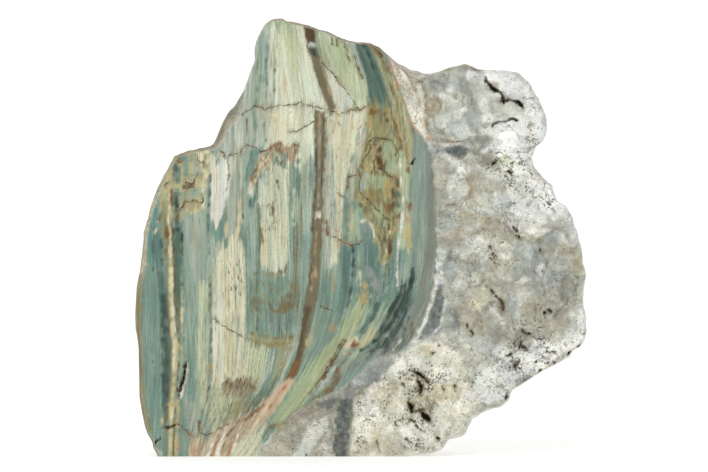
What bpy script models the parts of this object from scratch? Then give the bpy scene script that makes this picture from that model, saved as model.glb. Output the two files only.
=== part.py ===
"""Petrified bog wood specimen: one stone, sawn and polished in front, sawn flat below.

Metres, +Z up. The stone stands on its sawn base and the polished face looks to -Y.
"""
import math

import bmesh
import bpy
import numpy as np

MM = 0.001

# Driving dimensions in millimetres.
DEPTH = 54.0                    # from the saw cut to the highest point of the back
MIDDLE = (-7.6, 70.9)           # the point of the face that the outline is drawn round
SEGMENTS = 216                  # points round the outline
RINGS = 34                      # rings of points from the front to the back
FRONT_RINGS = 5                 # of them, the rings in front of the saw cut
SPARE = 5.0                     # stone in front of the saw cut and below it
WORN = 0.07                     # share of the outline over which its corners wear off behind
KEPT = 0.60                     # share of the rough stone's triangles that its shape needs
GRAIN_EDGE = 24.0               # right of this x the stone is grey chalcedony, left of it wood
LOW_SIDE = (40.0, 9.0, 0.20)    # right of this x the back falls, over how much, by what share
LOW_TOP = (125.0, 8.0, 0.10)    # the same above this z
SAW_ROOM = 120.0                # the saw's boxes reach this far past the middle

# The widest outline, read off the photograph: x from the middle, z above the base.
OUTLINE = (
    (-77.9, -5.0), (-77.9, 0.4), (-79.4, 2.5), (-79.8, 4.8), (-81.7, 7.4), (-83.0, 10.8),
    (-85.1, 22.2), (-85.2, 40.9), (-86.3, 48.1), (-85.7, 64.4), (-83.4, 82.3), (-83.4, 85.3),
    (-80.6, 96.0), (-75.8, 107.3), (-71.6, 114.6), (-65.7, 116.6), (-55.9, 117.6),
    (-53.7, 120.3), (-50.2, 126.4), (-47.9, 128.2), (-45.8, 130.9), (-44.5, 140.8),
    (-40.7, 151.1), (-40.9, 155.2), (-40.1, 159.0), (-37.2, 164.9), (-34.8, 166.5),
    (-32.4, 167.0), (-30.0, 166.9), (-27.9, 165.9), (-22.5, 164.9), (-11.8, 161.7),
    (-8.6, 159.8), (-4.6, 158.5), (3.4, 157.6), (7.4, 155.5), (19.0, 145.1), (22.8, 144.6),
    (27.0, 145.3), (33.8, 148.6), (39.8, 149.9), (45.6, 148.0), (50.9, 147.8), (60.4, 146.7),
    (65.2, 141.9), (70.7, 130.5), (71.2, 126.7), (70.9, 122.7), (69.5, 119.9), (67.1, 118.4),
    (65.0, 116.3), (63.9, 114.2), (64.6, 109.6), (69.5, 105.3), (72.8, 103.2), (73.1, 100.5),
    (74.7, 97.3), (78.3, 95.6), (80.3, 92.0), (81.1, 88.3), (82.5, 85.3), (84.9, 77.0),
    (84.9, 73.2), (86.3, 68.2), (85.1, 64.6), (84.9, 59.9), (85.9, 53.0), (85.9, 47.7),
    (85.1, 43.3), (83.8, 41.4), (81.3, 40.1), (79.3, 37.4), (69.5, 32.1), (57.6, 24.5),
    (56.8, 21.3), (53.2, 18.4), (48.3, 17.3), (42.4, 13.9), (40.3, 8.6), (39.0, 7.1),
    (33.4, 5.9), (32.3, 4.0), (30.4, 2.1), (27.7, 1.0), (19.8, 0.2), (18.0, -5.0),
)

# How far the polished face stops short of the widest outline: share of the way round, inset.
# The skin slopes out behind the face where the photograph shows it.
INSET = (
    (0.00, 1.0), (0.04, 2.6), (0.20, 2.6), (0.25, 1.2), (0.34, 1.6), (0.41, 1.2),
    (0.46, 3.2), (0.50, 2.8), (0.54, 2.0), (0.60, 1.0), (0.80, 1.2), (0.95, 1.5), (1.00, 1.0),
)

# The side seen from the edge: share of the outline's reach, share of the depth.
SIDE = (
    (1.000, 0.00), (1.000, 0.16), (0.992, 0.30), (0.970, 0.44), (0.930, 0.57), (0.865, 0.69),
    (0.770, 0.80), (0.640, 0.885), (0.460, 0.950), (0.240, 0.985), (0.000, 1.000),
)

# Hollows open to the polished face: x, z, half length, half width, lean from upright, depth.
HOLLOWS = (
    ("hollow_by_vein", -67.2, 32.0, 6.2, 1.5, -4.0, 5.0),
    ("hollow_by_vein_low", -69.2, 24.0, 2.8, 0.9, 20.0, 3.5),
    ("hollow_low_left", -73.4, 11.1, 2.6, 1.0, 78.0, 3.5),
    ("hollow_in_rind", 23.6, 27.0, 3.1, 2.2, 20.0, 6.0),
    ("hollow_in_rind_low", 21.6, 16.8, 4.5, 3.2, 70.0, 7.0),
    ("hollow_round", 29.6, 7.8, 1.8, 1.7, 0.0, 5.0),
    ("hollow_chip", 23.8, 1.5, 1.0, 0.9, 0.0, 2.5),
    ("hollow_grey_top", 51.2, 111.0, 1.7, 1.4, 30.0, 3.0),
    ("hollow_grey_mid", 49.8, 77.6, 2.7, 1.8, 30.0, 3.0),
    ("hollow_grey_right", 71.0, 54.9, 1.9, 0.9, 60.0, 2.5),
    ("hollow_grey_low", 61.4, 46.4, 2.6, 1.8, 40.0, 4.0),
    ("hollow_grey_lowest", 61.2, 41.6, 2.0, 1.7, 60.0, 3.5),
    ("hollow_druse", 67.4, 72.0, 2.6, 2.0, 40.0, 1.8),
)

# Open cracks in the polished face: name, half width, points along it.
CRACKS = (
    ("crack_top", 0.55, ((47.3, 145.0), (47.4, 142.5), (50.2, 139.6), (53.4, 138.0), (53.8, 135.0),
                         (56.2, 135.3), (59.0, 134.8), (61.8, 132.2))),
    ("crack_second", 0.40, ((49.8, 125.5), (51.0, 126.8), (54.2, 127.2), (57.8, 128.2),
                            (59.8, 127.8))),
    ("crack_low_left", 0.45, ((-80.4, 3.6), (-78.4, 5.6), (-76.4, 7.2))),
    ("crack_mid_right", 0.40, ((49.0, 63.8), (53.4, 59.6), (52.6, 57.6))),
)

# The natural broken skin that cuts into the face at the top: corners x, z and depth there.
BROKEN_TOP = (
    (9.5, 154.5, 2.0), (12.6, 147.0, 0.9), (15.2, 138.5, 0.5), (18.2, 130.9, 0.4),
    (20.1, 126.0, 0.4), (22.0, 119.9, 0.3), (26.6, 119.9, 0.3), (27.4, 128.0, 0.7),
    (27.8, 135.5, 1.2), (28.6, 142.0, 2.4), (29.5, 150.0, 4.5), (20.0, 154.0, 6.0),
)
BROKEN_TOP_LOW = (21.5, 141.0, 3.2)
BROKEN_TOP_FRONT = -4.0         # the wedge starts this far in front of the face


def clear_scene():
    """Take away everything that Blender starts with."""
    for thing in list(bpy.data.objects):
        bpy.data.objects.remove(thing, do_unlink=True)


def new_collection(name):
    """Make a collection in the scene."""
    made = bpy.data.collections.new(name)
    bpy.context.scene.collection.children.link(made)
    return made


def put_in(thing, collection):
    """Move an object into one collection."""
    for held in list(thing.users_collection):
        held.objects.unlink(thing)
    collection.objects.link(thing)


def wave(x, y, z, cell, seed):
    """Smooth lumps between -1 and 1: random values on a lattice of the cell, blended between."""
    values = np.random.default_rng(seed).uniform(-1.0, 1.0, (16, 16, 16))
    total = np.zeros_like(x)
    parts = []
    for along, size in zip((x, y, z), cell):
        place = along / size
        low = np.floor(place)
        share = place - low
        parts.append((low.astype(int), share * share * (3.0 - 2.0 * share)))
    for corner in range(8):
        weight = np.ones_like(x)
        index = []
        for axis, (low, share) in enumerate(parts):
            high = (corner >> axis) & 1
            weight = weight * (share if high else 1.0 - share)
            index.append((low + high) % 16)
        total += weight * values[index[0], index[1], index[2]]
    return total


def rise(along, start, width):
    """0 well before the start and 1 well after it, changing over the width."""
    return 1.0 / (1.0 + np.exp(-(along - start) / width))


def along_outline(share):
    """Points of the outline at shares of its length."""
    corners = np.array(OUTLINE + OUTLINE[:1])
    steps = np.hypot(*np.diff(corners, axis=0).T)
    length = np.concatenate(([0.0], np.cumsum(steps))) / steps.sum()
    return np.stack((np.interp(share, length, corners[:, 0]),
                     np.interp(share, length, corners[:, 1])), axis=-1)


def worn_outline(share):
    """The outline without its small corners: the mean over a stretch either way."""
    shifts = np.linspace(-WORN, WORN, 21)
    return sum(along_outline((share + shift) % 1.0) for shift in shifts) / len(shifts)


def side_profile(travel):
    """Share of the outline's reach and share of the depth, from the rim (0) to the back (1)."""
    reach, deep = np.array(SIDE).T
    # A share of the depth is worth about two thirds of a share of the reach.
    steps = np.hypot(np.diff(reach), np.diff(deep) * 0.65)
    length = np.concatenate(([0.0], np.cumsum(steps))) / steps.sum()
    return np.interp(travel, length, reach), np.interp(travel, length, deep)


def skin(share, travel):
    """The natural skin: a point for each share of the way round and way to the back."""
    reach, deep = side_profile(np.clip(travel, 0.0, 1.0))
    inset = np.interp(share, *np.array(INSET).T)
    worn = np.clip((deep - 0.10) / 0.60, 0.0, 1.0)[..., None]
    edge = along_outline(share) * (1.0 - worn) + worn_outline(share) * worn
    out_x = edge[..., 0] - MIDDLE[0]
    out_z = edge[..., 1] - MIDDLE[1]
    far = np.hypot(out_x, out_z)
    behind = deep * DEPTH + np.minimum(travel, 0.0) * SPARE
    reach = reach - inset * np.exp(-np.maximum(behind, -1.5) / 3.0) / far
    x = MIDDLE[0] + out_x * reach
    z = MIDDLE[1] + out_z * reach
    # The back is highest behind the wood and lower behind the grey knob.
    full = 1.0 - LOW_SIDE[2] * rise(x, *LOW_SIDE[:2]) - LOW_TOP[2] * rise(z, *LOW_TOP[:2])
    behind = np.where(behind > 0.0, behind * full, behind)
    return roughen(x, behind, z)


def roughen(x, behind, z):
    """Push the skin in and out: splintered ledges behind the wood, lumps behind the rest."""
    away = np.stack((x - MIDDLE[0], (behind - 12.0) * 1.6, z - MIDDLE[1]), axis=-1)
    away /= np.linalg.norm(away, axis=-1, keepdims=True)
    # The grey stone starts further left at the top than at the base.
    grey = rise(x + 0.15 * (z - 80.0), GRAIN_EDGE, 5.0)
    lumps = 3.0 * wave(x, behind, z, (26.0, 26.0, 26.0), 3)
    knobs = 4.2 * np.abs(wave(x, behind, z, (15.0, 15.0, 15.0), 5)) - 1.2
    splinters = 2.4 * wave(x, behind, z, (8.0, 11.0, 52.0), 7)
    step = np.tanh(5.0 * wave(x, behind, z, (17.0, 30.0, 64.0), 11))
    push = lumps + grey * knobs + (1.0 - grey) * (splinters + 1.9 * step)
    push = push * np.clip((behind - 7.0) / 18.0, 0.0, 1.0)
    return x + push * away[..., 0], behind + push * away[..., 1], z + push * away[..., 2]


def rough_stone(collection):
    """A ball of rings whose points are moved on to the skin, before any saw cut."""
    bpy.ops.mesh.primitive_uv_sphere_add(segments=SEGMENTS, ring_count=RINGS, radius=1.0)
    stone = bpy.context.object
    mesh = stone.data
    count = len(mesh.vertices)
    flat = np.empty(count * 3)
    mesh.vertices.foreach_get("co", flat)
    ball = flat.reshape(-1, 3)
    ring = np.arccos(np.clip(ball[:, 2], -1.0, 1.0)) / math.pi * RINGS
    share = (np.arctan2(ball[:, 1], ball[:, 0]) / (2.0 * math.pi)) % 1.0
    travel = (ring - FRONT_RINGS) / (RINGS - FRONT_RINGS)
    at_back = travel >= 0.0
    x, behind, z = skin(share, np.where(at_back, travel, -1.0))
    cap = np.clip(ring / (FRONT_RINGS - 1), 0.0, 1.0)
    x = np.where(at_back, x, MIDDLE[0] + (x - MIDDLE[0]) * cap)
    z = np.where(at_back, z, MIDDLE[1] + (z - MIDDLE[1]) * cap)
    points = np.stack((x, behind, z), axis=-1)
    # The outline runs clockwise seen from the front, so the ball's own turn is kept.
    mesh.vertices.foreach_set("co", (points * MM).ravel())
    mesh.update()
    stone.name = "petrified_bog_wood"
    put_in(stone, collection)
    return stone


def cutter_from(shape_it, name, collection):
    """Name and shape the object just made, and keep it as a cutter that is never rendered."""
    tool = bpy.context.object
    tool.name = name
    tool.display_type = "WIRE"
    tool.hide_render = True
    shape_it(tool)
    put_in(tool, collection)
    return tool


def box(name, low, high, collection):
    """A box between two corners in millimetres."""
    bpy.ops.mesh.primitive_cube_add(size=1.0)

    def shape(tool):
        middle = [(a + b) / 2.0 * MM for a, b in zip(low, high)]
        size = [(b - a) * MM for a, b in zip(low, high)]
        for vertex in tool.data.vertices:
            vertex.co = [m + s * c for m, s, c in zip(middle, size, vertex.co)]

    return cutter_from(shape, name, collection)


def hollow(name, x, z, half_length, half_width, lean, deep, collection):
    """An egg that leans on the face and reaches into the stone."""
    bpy.ops.mesh.primitive_ico_sphere_add(subdivisions=2, radius=1.0)

    def shape(tool):
        turn = math.radians(lean)
        for number, vertex in enumerate(tool.data.vertices):
            uneven = 1.0 + 0.13 * math.sin(2.3 * number + x)
            across = vertex.co.x * half_width * uneven
            along = vertex.co.z * half_length * uneven
            vertex.co = (
                (x + across * math.cos(turn) + along * math.sin(turn)) * MM,
                vertex.co.y * deep * MM,
                (z - across * math.sin(turn) + along * math.cos(turn)) * MM,
            )

    return cutter_from(shape, name, collection)


def crack(name, half_width, points, collection):
    """A groove along a line on the face: a bevelled curve that is twice as deep as wide."""
    line = bpy.data.curves.new(name, "CURVE")
    line.dimensions = "3D"
    line.bevel_depth = half_width * MM
    line.bevel_resolution = 1
    line.use_fill_caps = True
    spline = line.splines.new("POLY")
    spline.points.add(len(points) - 1)
    for place, (x, z) in zip(spline.points, points):
        place.co = (x * MM, 0.0, z * MM, 1.0)
    laid = bpy.data.objects.new(name + "_line", line)
    bpy.context.scene.collection.objects.link(laid)
    bpy.context.view_layer.update()
    solid = bpy.data.meshes.new_from_object(laid.evaluated_get(bpy.context.evaluated_depsgraph_get()))
    bpy.data.objects.remove(laid, do_unlink=True)
    for vertex in solid.vertices:
        vertex.co.y *= 3.0
    tool = bpy.data.objects.new(name, solid)
    tool.display_type = "WIRE"
    tool.hide_render = True
    collection.objects.link(tool)
    return tool


def turn_outward(mesh):
    """Make every face of a closed mesh look outward."""
    shape = bmesh.new()
    shape.from_mesh(mesh)
    bmesh.ops.recalc_face_normals(shape, faces=shape.faces[:])
    shape.to_mesh(mesh)
    shape.free()


def broken_top(collection):
    """A wedge that takes the polish off beside the top notch, deeper towards the notch."""
    count = len(BROKEN_TOP)
    front = [(x * MM, BROKEN_TOP_FRONT * MM, z * MM) for x, z, deep in BROKEN_TOP]
    back = [(x * MM, deep * MM, z * MM) for x, z, deep in BROKEN_TOP + (BROKEN_TOP_LOW,)]
    faces = [tuple(range(count))]
    for n in range(count):
        after = (n + 1) % count
        faces.append((after, n, n + count, after + count))
        faces.append((after + count, n + count, 2 * count))
    solid = bpy.data.meshes.new("broken_top")
    solid.from_pydata(front + back, [], faces)
    turn_outward(solid)
    tool = bpy.data.objects.new("broken_top", solid)
    tool.display_type = "WIRE"
    tool.hide_render = True
    collection.objects.link(tool)
    return tool


def cut(stone, tool):
    """Take one cutter out of the stone for good."""
    step = stone.modifiers.new("cut", "BOOLEAN")
    step.operation = "DIFFERENCE"
    step.solver = "EXACT"
    step.object = tool
    keep_result(stone)


def thin_out(stone, ratio):
    """Drop the points that the shape doesn't need, so that this share of them is left."""
    step = stone.modifiers.new("thin", "DECIMATE")
    step.ratio = ratio
    step.use_collapse_triangulate = True
    keep_result(stone)


def keep_result(stone):
    """Replace the mesh by what its modifiers make of it."""
    bpy.context.view_layer.update()
    seen = stone.evaluated_get(bpy.context.evaluated_depsgraph_get())
    made = bpy.data.meshes.new_from_object(seen)
    stone.modifiers.clear()
    stone.data = made


def centre(stone):
    """Put the middle of the stone's box over the origin."""
    low = [min(vertex.co[axis] for vertex in stone.data.vertices) for axis in (0, 1)]
    high = [max(vertex.co[axis] for vertex in stone.data.vertices) for axis in (0, 1)]
    for vertex in stone.data.vertices:
        vertex.co.x -= (low[0] + high[0]) / 2.0
        vertex.co.y -= (low[1] + high[1]) / 2.0


def stone_material():
    """The mean look of the stone: polished grey-green petrified wood."""
    made = bpy.data.materials.new("petrified_wood")
    made.use_nodes = True
    surface = made.node_tree.nodes["Principled BSDF"]
    surface.inputs["Base Color"].default_value = (0.36, 0.39, 0.31, 1.0)
    surface.inputs["Roughness"].default_value = 0.35
    surface.inputs["Metallic"].default_value = 0.0
    return made


def build():
    """Make the rough stone, thin it, then saw and hollow it."""
    clear_scene()
    objects = new_collection("petrified_bog_wood_specimen")
    cutters = new_collection("cutters")
    cutters.hide_render = True
    stone = rough_stone(objects)
    thin_out(stone, KEPT)
    room = SAW_ROOM
    cut(stone, box("saw_front", (-room, -room, -room), (room, 0.0, 2.0 * room), cutters))
    cut(stone, box("saw_base", (-room, -room, -room), (room, room, 0.0), cutters))
    cut(stone, broken_top(cutters))
    for name, x, z, half_length, half_width, lean, deep in HOLLOWS:
        cut(stone, hollow(name, x, z, half_length, half_width, lean, deep, cutters))
    for name, half_width, points in CRACKS:
        cut(stone, crack(name, half_width, points, cutters))
    centre(stone)
    stone.data.materials.clear()
    stone.data.materials.append(stone_material())


build()
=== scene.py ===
"""Petrified bog wood specimen: the stone as it looks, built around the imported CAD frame."""
import math

import bpy
import numpy as np
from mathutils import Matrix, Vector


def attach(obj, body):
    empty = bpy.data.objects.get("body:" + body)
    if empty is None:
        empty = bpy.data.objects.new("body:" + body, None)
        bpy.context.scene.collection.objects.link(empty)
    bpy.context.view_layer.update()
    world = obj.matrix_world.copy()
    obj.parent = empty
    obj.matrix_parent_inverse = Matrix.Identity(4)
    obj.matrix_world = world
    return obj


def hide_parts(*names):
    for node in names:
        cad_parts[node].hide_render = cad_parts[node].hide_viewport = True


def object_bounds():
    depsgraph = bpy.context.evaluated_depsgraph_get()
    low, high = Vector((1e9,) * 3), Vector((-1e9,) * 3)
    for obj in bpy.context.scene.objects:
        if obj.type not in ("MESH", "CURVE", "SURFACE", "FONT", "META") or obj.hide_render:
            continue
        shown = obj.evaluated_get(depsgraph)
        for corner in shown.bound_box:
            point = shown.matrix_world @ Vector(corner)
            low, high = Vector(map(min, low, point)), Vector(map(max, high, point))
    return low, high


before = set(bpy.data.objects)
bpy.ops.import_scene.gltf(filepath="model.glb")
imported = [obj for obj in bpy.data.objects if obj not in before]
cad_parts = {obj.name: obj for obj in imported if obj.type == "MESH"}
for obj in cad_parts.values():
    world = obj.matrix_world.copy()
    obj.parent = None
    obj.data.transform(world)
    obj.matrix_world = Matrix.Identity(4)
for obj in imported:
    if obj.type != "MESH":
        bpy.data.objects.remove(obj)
cad_box = [list(corner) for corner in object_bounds()]

# THE STONE'S FORM
# One natural stone: wood turned to chalcedony, with grey breccia and a white rind grown on it.
# It was sawn flat in front and polished, and sawn flat below; the rest is its natural skin.
MM = 0.001
DEPTH = 54.0                    # thickness before the skin's own relief
MIDDLE = (-7.6, 70.9)           # the point of the face that the outline is drawn round
WORN = 0.07                     # share of the outline over which its corners wear off behind
GRAIN_EDGE = 24.0               # right of this x the stone is grey chalcedony, left of it wood
ACROSS, UP = 360, 216           # cells of the polished face
SIDE_RINGS, BACK_RINGS = 24, 20
EVENING_ROUNDS = 240            # how often the cells of the face are evened
LATTICE = 16                    # the noise repeats after so many of its cells
FACE_REACH = 3.0                # the face's inset has faded this far behind it
RELIEF_FROM, RELIEF_OVER = 7.0, 18.0    # the skin's relief starts and is full this far behind

# The widest outline in millimetres: x from the middle, z above the base.
OUTLINE = (
    (-77.9, -5.0), (-77.9, 0.4), (-79.4, 2.5), (-79.8, 4.8), (-81.7, 7.4), (-83.0, 10.8),
    (-85.1, 22.2), (-85.2, 40.9), (-86.3, 48.1), (-85.7, 64.4), (-83.4, 82.3), (-83.4, 85.3),
    (-80.6, 96.0), (-75.8, 107.3), (-71.6, 114.6), (-65.7, 116.6), (-55.9, 117.6),
    (-53.7, 120.3), (-50.2, 126.4), (-47.9, 128.2), (-45.8, 130.9), (-44.5, 140.8),
    (-40.7, 151.1), (-40.9, 155.2), (-40.1, 159.0), (-37.2, 164.9), (-34.8, 166.5),
    (-32.4, 167.0), (-30.0, 166.9), (-27.9, 165.9), (-22.5, 164.9), (-11.8, 161.7),
    (-8.6, 159.8), (-4.6, 158.5), (3.4, 157.6), (7.4, 155.5), (19.0, 145.1), (22.8, 144.6),
    (27.0, 145.3), (33.8, 148.6), (39.8, 149.9), (45.6, 148.0), (50.9, 147.8), (60.4, 146.7),
    (65.2, 141.9), (70.7, 130.5), (71.2, 126.7), (70.9, 122.7), (69.5, 119.9), (67.1, 118.4),
    (65.0, 116.3), (63.9, 114.2), (64.6, 109.6), (69.5, 105.3), (72.8, 103.2), (73.1, 100.5),
    (74.7, 97.3), (78.3, 95.6), (80.3, 92.0), (81.1, 88.3), (82.5, 85.3), (84.9, 77.0),
    (84.9, 73.2), (86.3, 68.2), (85.1, 64.6), (84.9, 59.9), (85.9, 53.0), (85.9, 47.7),
    (85.1, 43.3), (83.8, 41.4), (81.3, 40.1), (79.3, 37.4), (69.5, 32.1), (57.6, 24.5),
    (56.8, 21.3), (53.2, 18.4), (48.3, 17.3), (42.4, 13.9), (40.3, 8.6), (39.0, 7.1),
    (33.4, 5.9), (32.3, 4.0), (30.4, 2.1), (27.7, 1.0), (19.8, 0.2), (18.0, -5.0),
)
CORNERS = (0.0062, 0.2065, 0.5078, 0.6858)    # shares of the way round where the face turns

# How far the polished face stops short of the widest outline: share of the way round, inset.
INSET = (
    (0.00, 1.0), (0.04, 2.6), (0.20, 2.6), (0.25, 1.2), (0.34, 1.6), (0.41, 1.2),
    (0.46, 3.2), (0.50, 2.8), (0.54, 2.0), (0.60, 1.0), (0.80, 1.2), (0.95, 1.5), (1.00, 1.0),
)

# The side seen from the edge: share of the outline's reach, share of the depth.
SIDE = (
    (1.000, 0.00), (1.000, 0.16), (0.992, 0.30), (0.970, 0.44), (0.930, 0.57), (0.865, 0.69),
    (0.770, 0.80), (0.640, 0.885), (0.460, 0.950), (0.240, 0.985), (0.000, 1.000),
)


def wave(x, y, z, cell, seed):
    """Smooth lumps from -1 to 1: seeded values on a lattice of the cell, each point blending
    the eight round it by t * t * (3 - 2 * t)."""
    values = np.random.default_rng(seed).uniform(-1.0, 1.0, (LATTICE,) * 3)
    parts = []
    for along, size in zip((x, y, z), cell):
        place = along / size
        low = np.floor(place)
        share = place - low
        parts.append((low.astype(int), share * share * (3.0 - 2.0 * share)))
    total = np.zeros(np.shape(x))
    for corner in range(8):
        weight = 1.0
        index = []
        for axis, (low, share) in enumerate(parts):
            high = (corner >> axis) & 1
            weight = weight * (share if high else 1.0 - share)
            index.append((low + high) % LATTICE)
        total = total + weight * values[index[0], index[1], index[2]]
    return total


def travelled(steps):
    """Share of the whole length reached at each corner of a line with these steps."""
    return np.concatenate(([0.0], np.cumsum(steps))) / np.sum(steps)


outline_corners = np.array(OUTLINE + OUTLINE[:1])
outline_share = travelled(np.hypot(*np.diff(outline_corners, axis=0).T))


def along_outline(share):
    """Point of the outline at a share of its length, straight from corner to corner."""
    return np.stack((np.interp(share, outline_share, outline_corners[:, 0]),
                     np.interp(share, outline_share, outline_corners[:, 1])), axis=-1)


def rising(value, middle, width):
    """0 well below the middle, 1 well above it: 1 / (1 + exp((middle - value) / width))."""
    return 1.0 / (1.0 + np.exp((middle - value) / width))


def skin(share, travel):
    """Point of the natural skin: the outline at this share of its way round, drawn in towards
    the middle by the side's profile at this share of the way back, then pushed in and out."""
    reach, deep = np.array(SIDE).T
    way = travelled(np.hypot(np.diff(reach), np.diff(deep) * 0.65))
    reach = np.interp(travel, way, reach)
    deep = np.interp(travel, way, deep)
    shifts = np.linspace(-WORN, WORN, 21)
    round_edge = sum(along_outline((share + shift) % 1.0) for shift in shifts) / len(shifts)
    worn = np.clip((deep - 0.10) / 0.60, 0.0, 1.0)[..., None]
    edge = along_outline(share) * (1.0 - worn) + round_edge * worn
    out = edge - MIDDLE
    behind = deep * DEPTH
    inset = np.interp(share, *np.array(INSET).T)
    reach = reach - inset * np.exp(-behind / FACE_REACH) / np.hypot(out[..., 0], out[..., 1])
    x = MIDDLE[0] + out[..., 0] * reach
    z = MIDDLE[1] + out[..., 1] * reach
    # A fifth thinner behind the knob side and a tenth behind the top hump.
    behind = behind * (1.0 - 0.20 * rising(x, 40.0, 9.0) - 0.10 * rising(z, 125.0, 8.0))
    return roughen(x, behind, z)


def roughen(x, behind, z):
    """The skin's relief, growing with the distance behind the face: splintered ledges along the
    grain behind the wood, knobs behind the grey stone, and fine weathering over both."""
    away = np.stack((x - MIDDLE[0], (behind - 12.0) * 1.6, z - MIDDLE[1]), axis=-1)
    away /= np.linalg.norm(away, axis=-1, keepdims=True)
    grey = rising(x + 0.15 * (z - 80.0), GRAIN_EDGE, 5.0)
    lumps = 3.0 * wave(x, behind, z, (26.0, 26.0, 26.0), 3)
    knobs = 4.2 * np.abs(wave(x, behind, z, (15.0, 15.0, 15.0), 5)) - 1.2
    splinters = 2.4 * wave(x, behind, z, (8.0, 11.0, 52.0), 7)
    step = np.tanh(5.0 * wave(x, behind, z, (17.0, 30.0, 64.0), 11))
    push = lumps + grey * knobs + (1.0 - grey) * (splinters + 1.9 * step)
    push = push * np.clip((behind - RELIEF_FROM) / RELIEF_OVER, 0.0, 1.0)
    fibres = wave(x, behind, z, (2.2, 2.6, 19.0), 21) + 0.5 * wave(x, behind, z, (1.3, 1.6, 9.0), 22)
    grains = wave(x, behind, z, (4.5, 4.5, 4.5), 23) + 0.6 * wave(x, behind, z, (2.1, 2.1, 2.1), 24)
    fine = 0.45 * (1.0 - grey) * fibres + 0.5 * grey * grains
    push = push + fine * np.clip(behind / 4.0, 0.0, 1.0)
    return np.stack((x, behind, z), axis=-1) + push[..., None] * away


def side_shares(start, end, count, upright):
    """Shares of the outline from one corner to another, spaced by a mix of its length and of
    its run across (or up, where upright), so that cells stay even."""
    fine = np.linspace(start, end, 3000)
    place = along_outline(fine % 1.0)
    step = np.diff(place, axis=0)
    run = np.abs(step[:, 1 if upright else 0])
    way = travelled(0.45 * np.hypot(*step.T) + 0.55 * run)
    return np.interp(np.linspace(0.0, 1.0, count + 1), way, fine) % 1.0


left = side_shares(CORNERS[0], CORNERS[1], UP, True)
top = side_shares(CORNERS[1], CORNERS[2], ACROSS, False)
right = side_shares(CORNERS[2], CORNERS[3], UP, True)
bottom = side_shares(CORNERS[3], 1.0 + CORNERS[0], ACROSS, False)
rim_share = np.concatenate((left[:-1], top[:-1], right[:-1], bottom[:-1]))


def sawn(points):
    """Nothing of the stone is left below the sawn base."""
    points[..., 2] = np.maximum(points[..., 2], 0.0)
    return points


def face_sheet():
    """The polished face as a grid: each point blends the edge below and above by its height b,
    adds the same blend of the left and right edge by its place a, and takes the corners off."""
    low = sawn(skin(bottom[::-1], 0.0))[None, :, :]
    high = skin(top, 0.0)[None, :, :]
    west = sawn(skin(left, 0.0))[:, None, :]
    east = skin(right[::-1], 0.0)[:, None, :]
    a = np.linspace(0.0, 1.0, ACROSS + 1)[None, :, None]
    b = np.linspace(0.0, 1.0, UP + 1)[:, None, None]
    corners = ((1 - a) * (1 - b) * low[:, :1] + a * (1 - b) * low[:, -1:]
               + (1 - a) * b * high[:, :1] + a * b * high[:, -1:])
    blended = (1 - b) * low + b * high + (1 - a) * west + a * east - corners
    return evened(blended)


def evened(grid):
    """The same grid with even cells and no fold: again and again each inner point goes to the
    mean of its neighbours, weighed by how far apart the lines of the grid are (Winslow)."""
    for _ in range(EVENING_ROUNDS):
        east, west = grid[1:-1, 2:], grid[1:-1, :-2]
        north, south = grid[2:, 1:-1], grid[:-2, 1:-1]
        over = (east - west) / 2.0
        rise = (north - south) / 2.0
        alpha = np.sum(rise * rise, axis=-1, keepdims=True)
        gamma = np.sum(over * over, axis=-1, keepdims=True)
        beta = np.sum(rise * over, axis=-1, keepdims=True)
        twist = (grid[2:, 2:] - grid[2:, :-2] - grid[:-2, 2:] + grid[:-2, :-2]) / 4.0
        inner = alpha * (east + west) + gamma * (north + south) - 2.0 * beta * twist
        grid[1:-1, 1:-1] = inner / (2.0 * (alpha + gamma))
    return grid


sheet = face_sheet()
face_count = (ACROSS + 1) * (UP + 1)
number = np.arange(face_count).reshape(UP + 1, ACROSS + 1)
rim = np.concatenate((number[:-1, 0], number[-1, :-1], number[:0:-1, -1], number[0, :0:-1]))

# THE SHAPE OF THE STONE
# The sawn face first, then rings of the skin from its rim to the middle of the back.
points = [sheet.reshape(-1, 3)]
faces_square = [np.stack((number[:-1, :-1], number[:-1, 1:], number[1:, 1:], number[1:, :-1]),
                         axis=-1).reshape(-1, 4)]
faces_three = []
ring, ring_share = rim, rim_share
travel_of = [np.zeros(face_count)]
share_of = [np.zeros(face_count)]


def add_ring(travel, halved):
    """The next ring of the skin and its faces to the ring before, with every second point of
    that ring left out where halved."""
    global ring, ring_share
    start = sum(len(block) for block in points)
    share = ring_share[::2] if halved else ring_share
    points.append(sawn(skin(share, np.full(len(share), travel))))
    travel_of.append(np.full(len(share), travel))
    share_of.append(share)
    new = start + np.arange(len(share))
    if halved:
        near, mid, far = ring[::2], ring[1::2], np.roll(ring[::2], -1)
        after = np.roll(new, -1)
        faces_three.append(np.stack((near, new, mid), axis=-1))
        faces_three.append(np.stack((mid, new, after), axis=-1))
        faces_three.append(np.stack((mid, after, far), axis=-1))
    else:
        faces_square.append(np.stack((ring, new, np.roll(new, -1), np.roll(ring, -1)), axis=-1))
    ring, ring_share = new, share


travels = np.linspace(0.0, 1.0, SIDE_RINGS + BACK_RINGS + 1)[1:-1] ** 1.1
for step, travel in enumerate(travels):
    add_ring(travel, halved=step in (0, SIDE_RINGS))
pole = sum(len(block) for block in points)
points.append(skin(np.zeros(1), np.ones(1)))
faces_three.append(np.stack((ring, np.full(len(ring), pole), np.roll(ring, -1)), axis=-1))
points = np.concatenate(points)
point_count = len(points)
on_face = np.zeros(point_count)
on_face[:face_count] = 1.0

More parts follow.
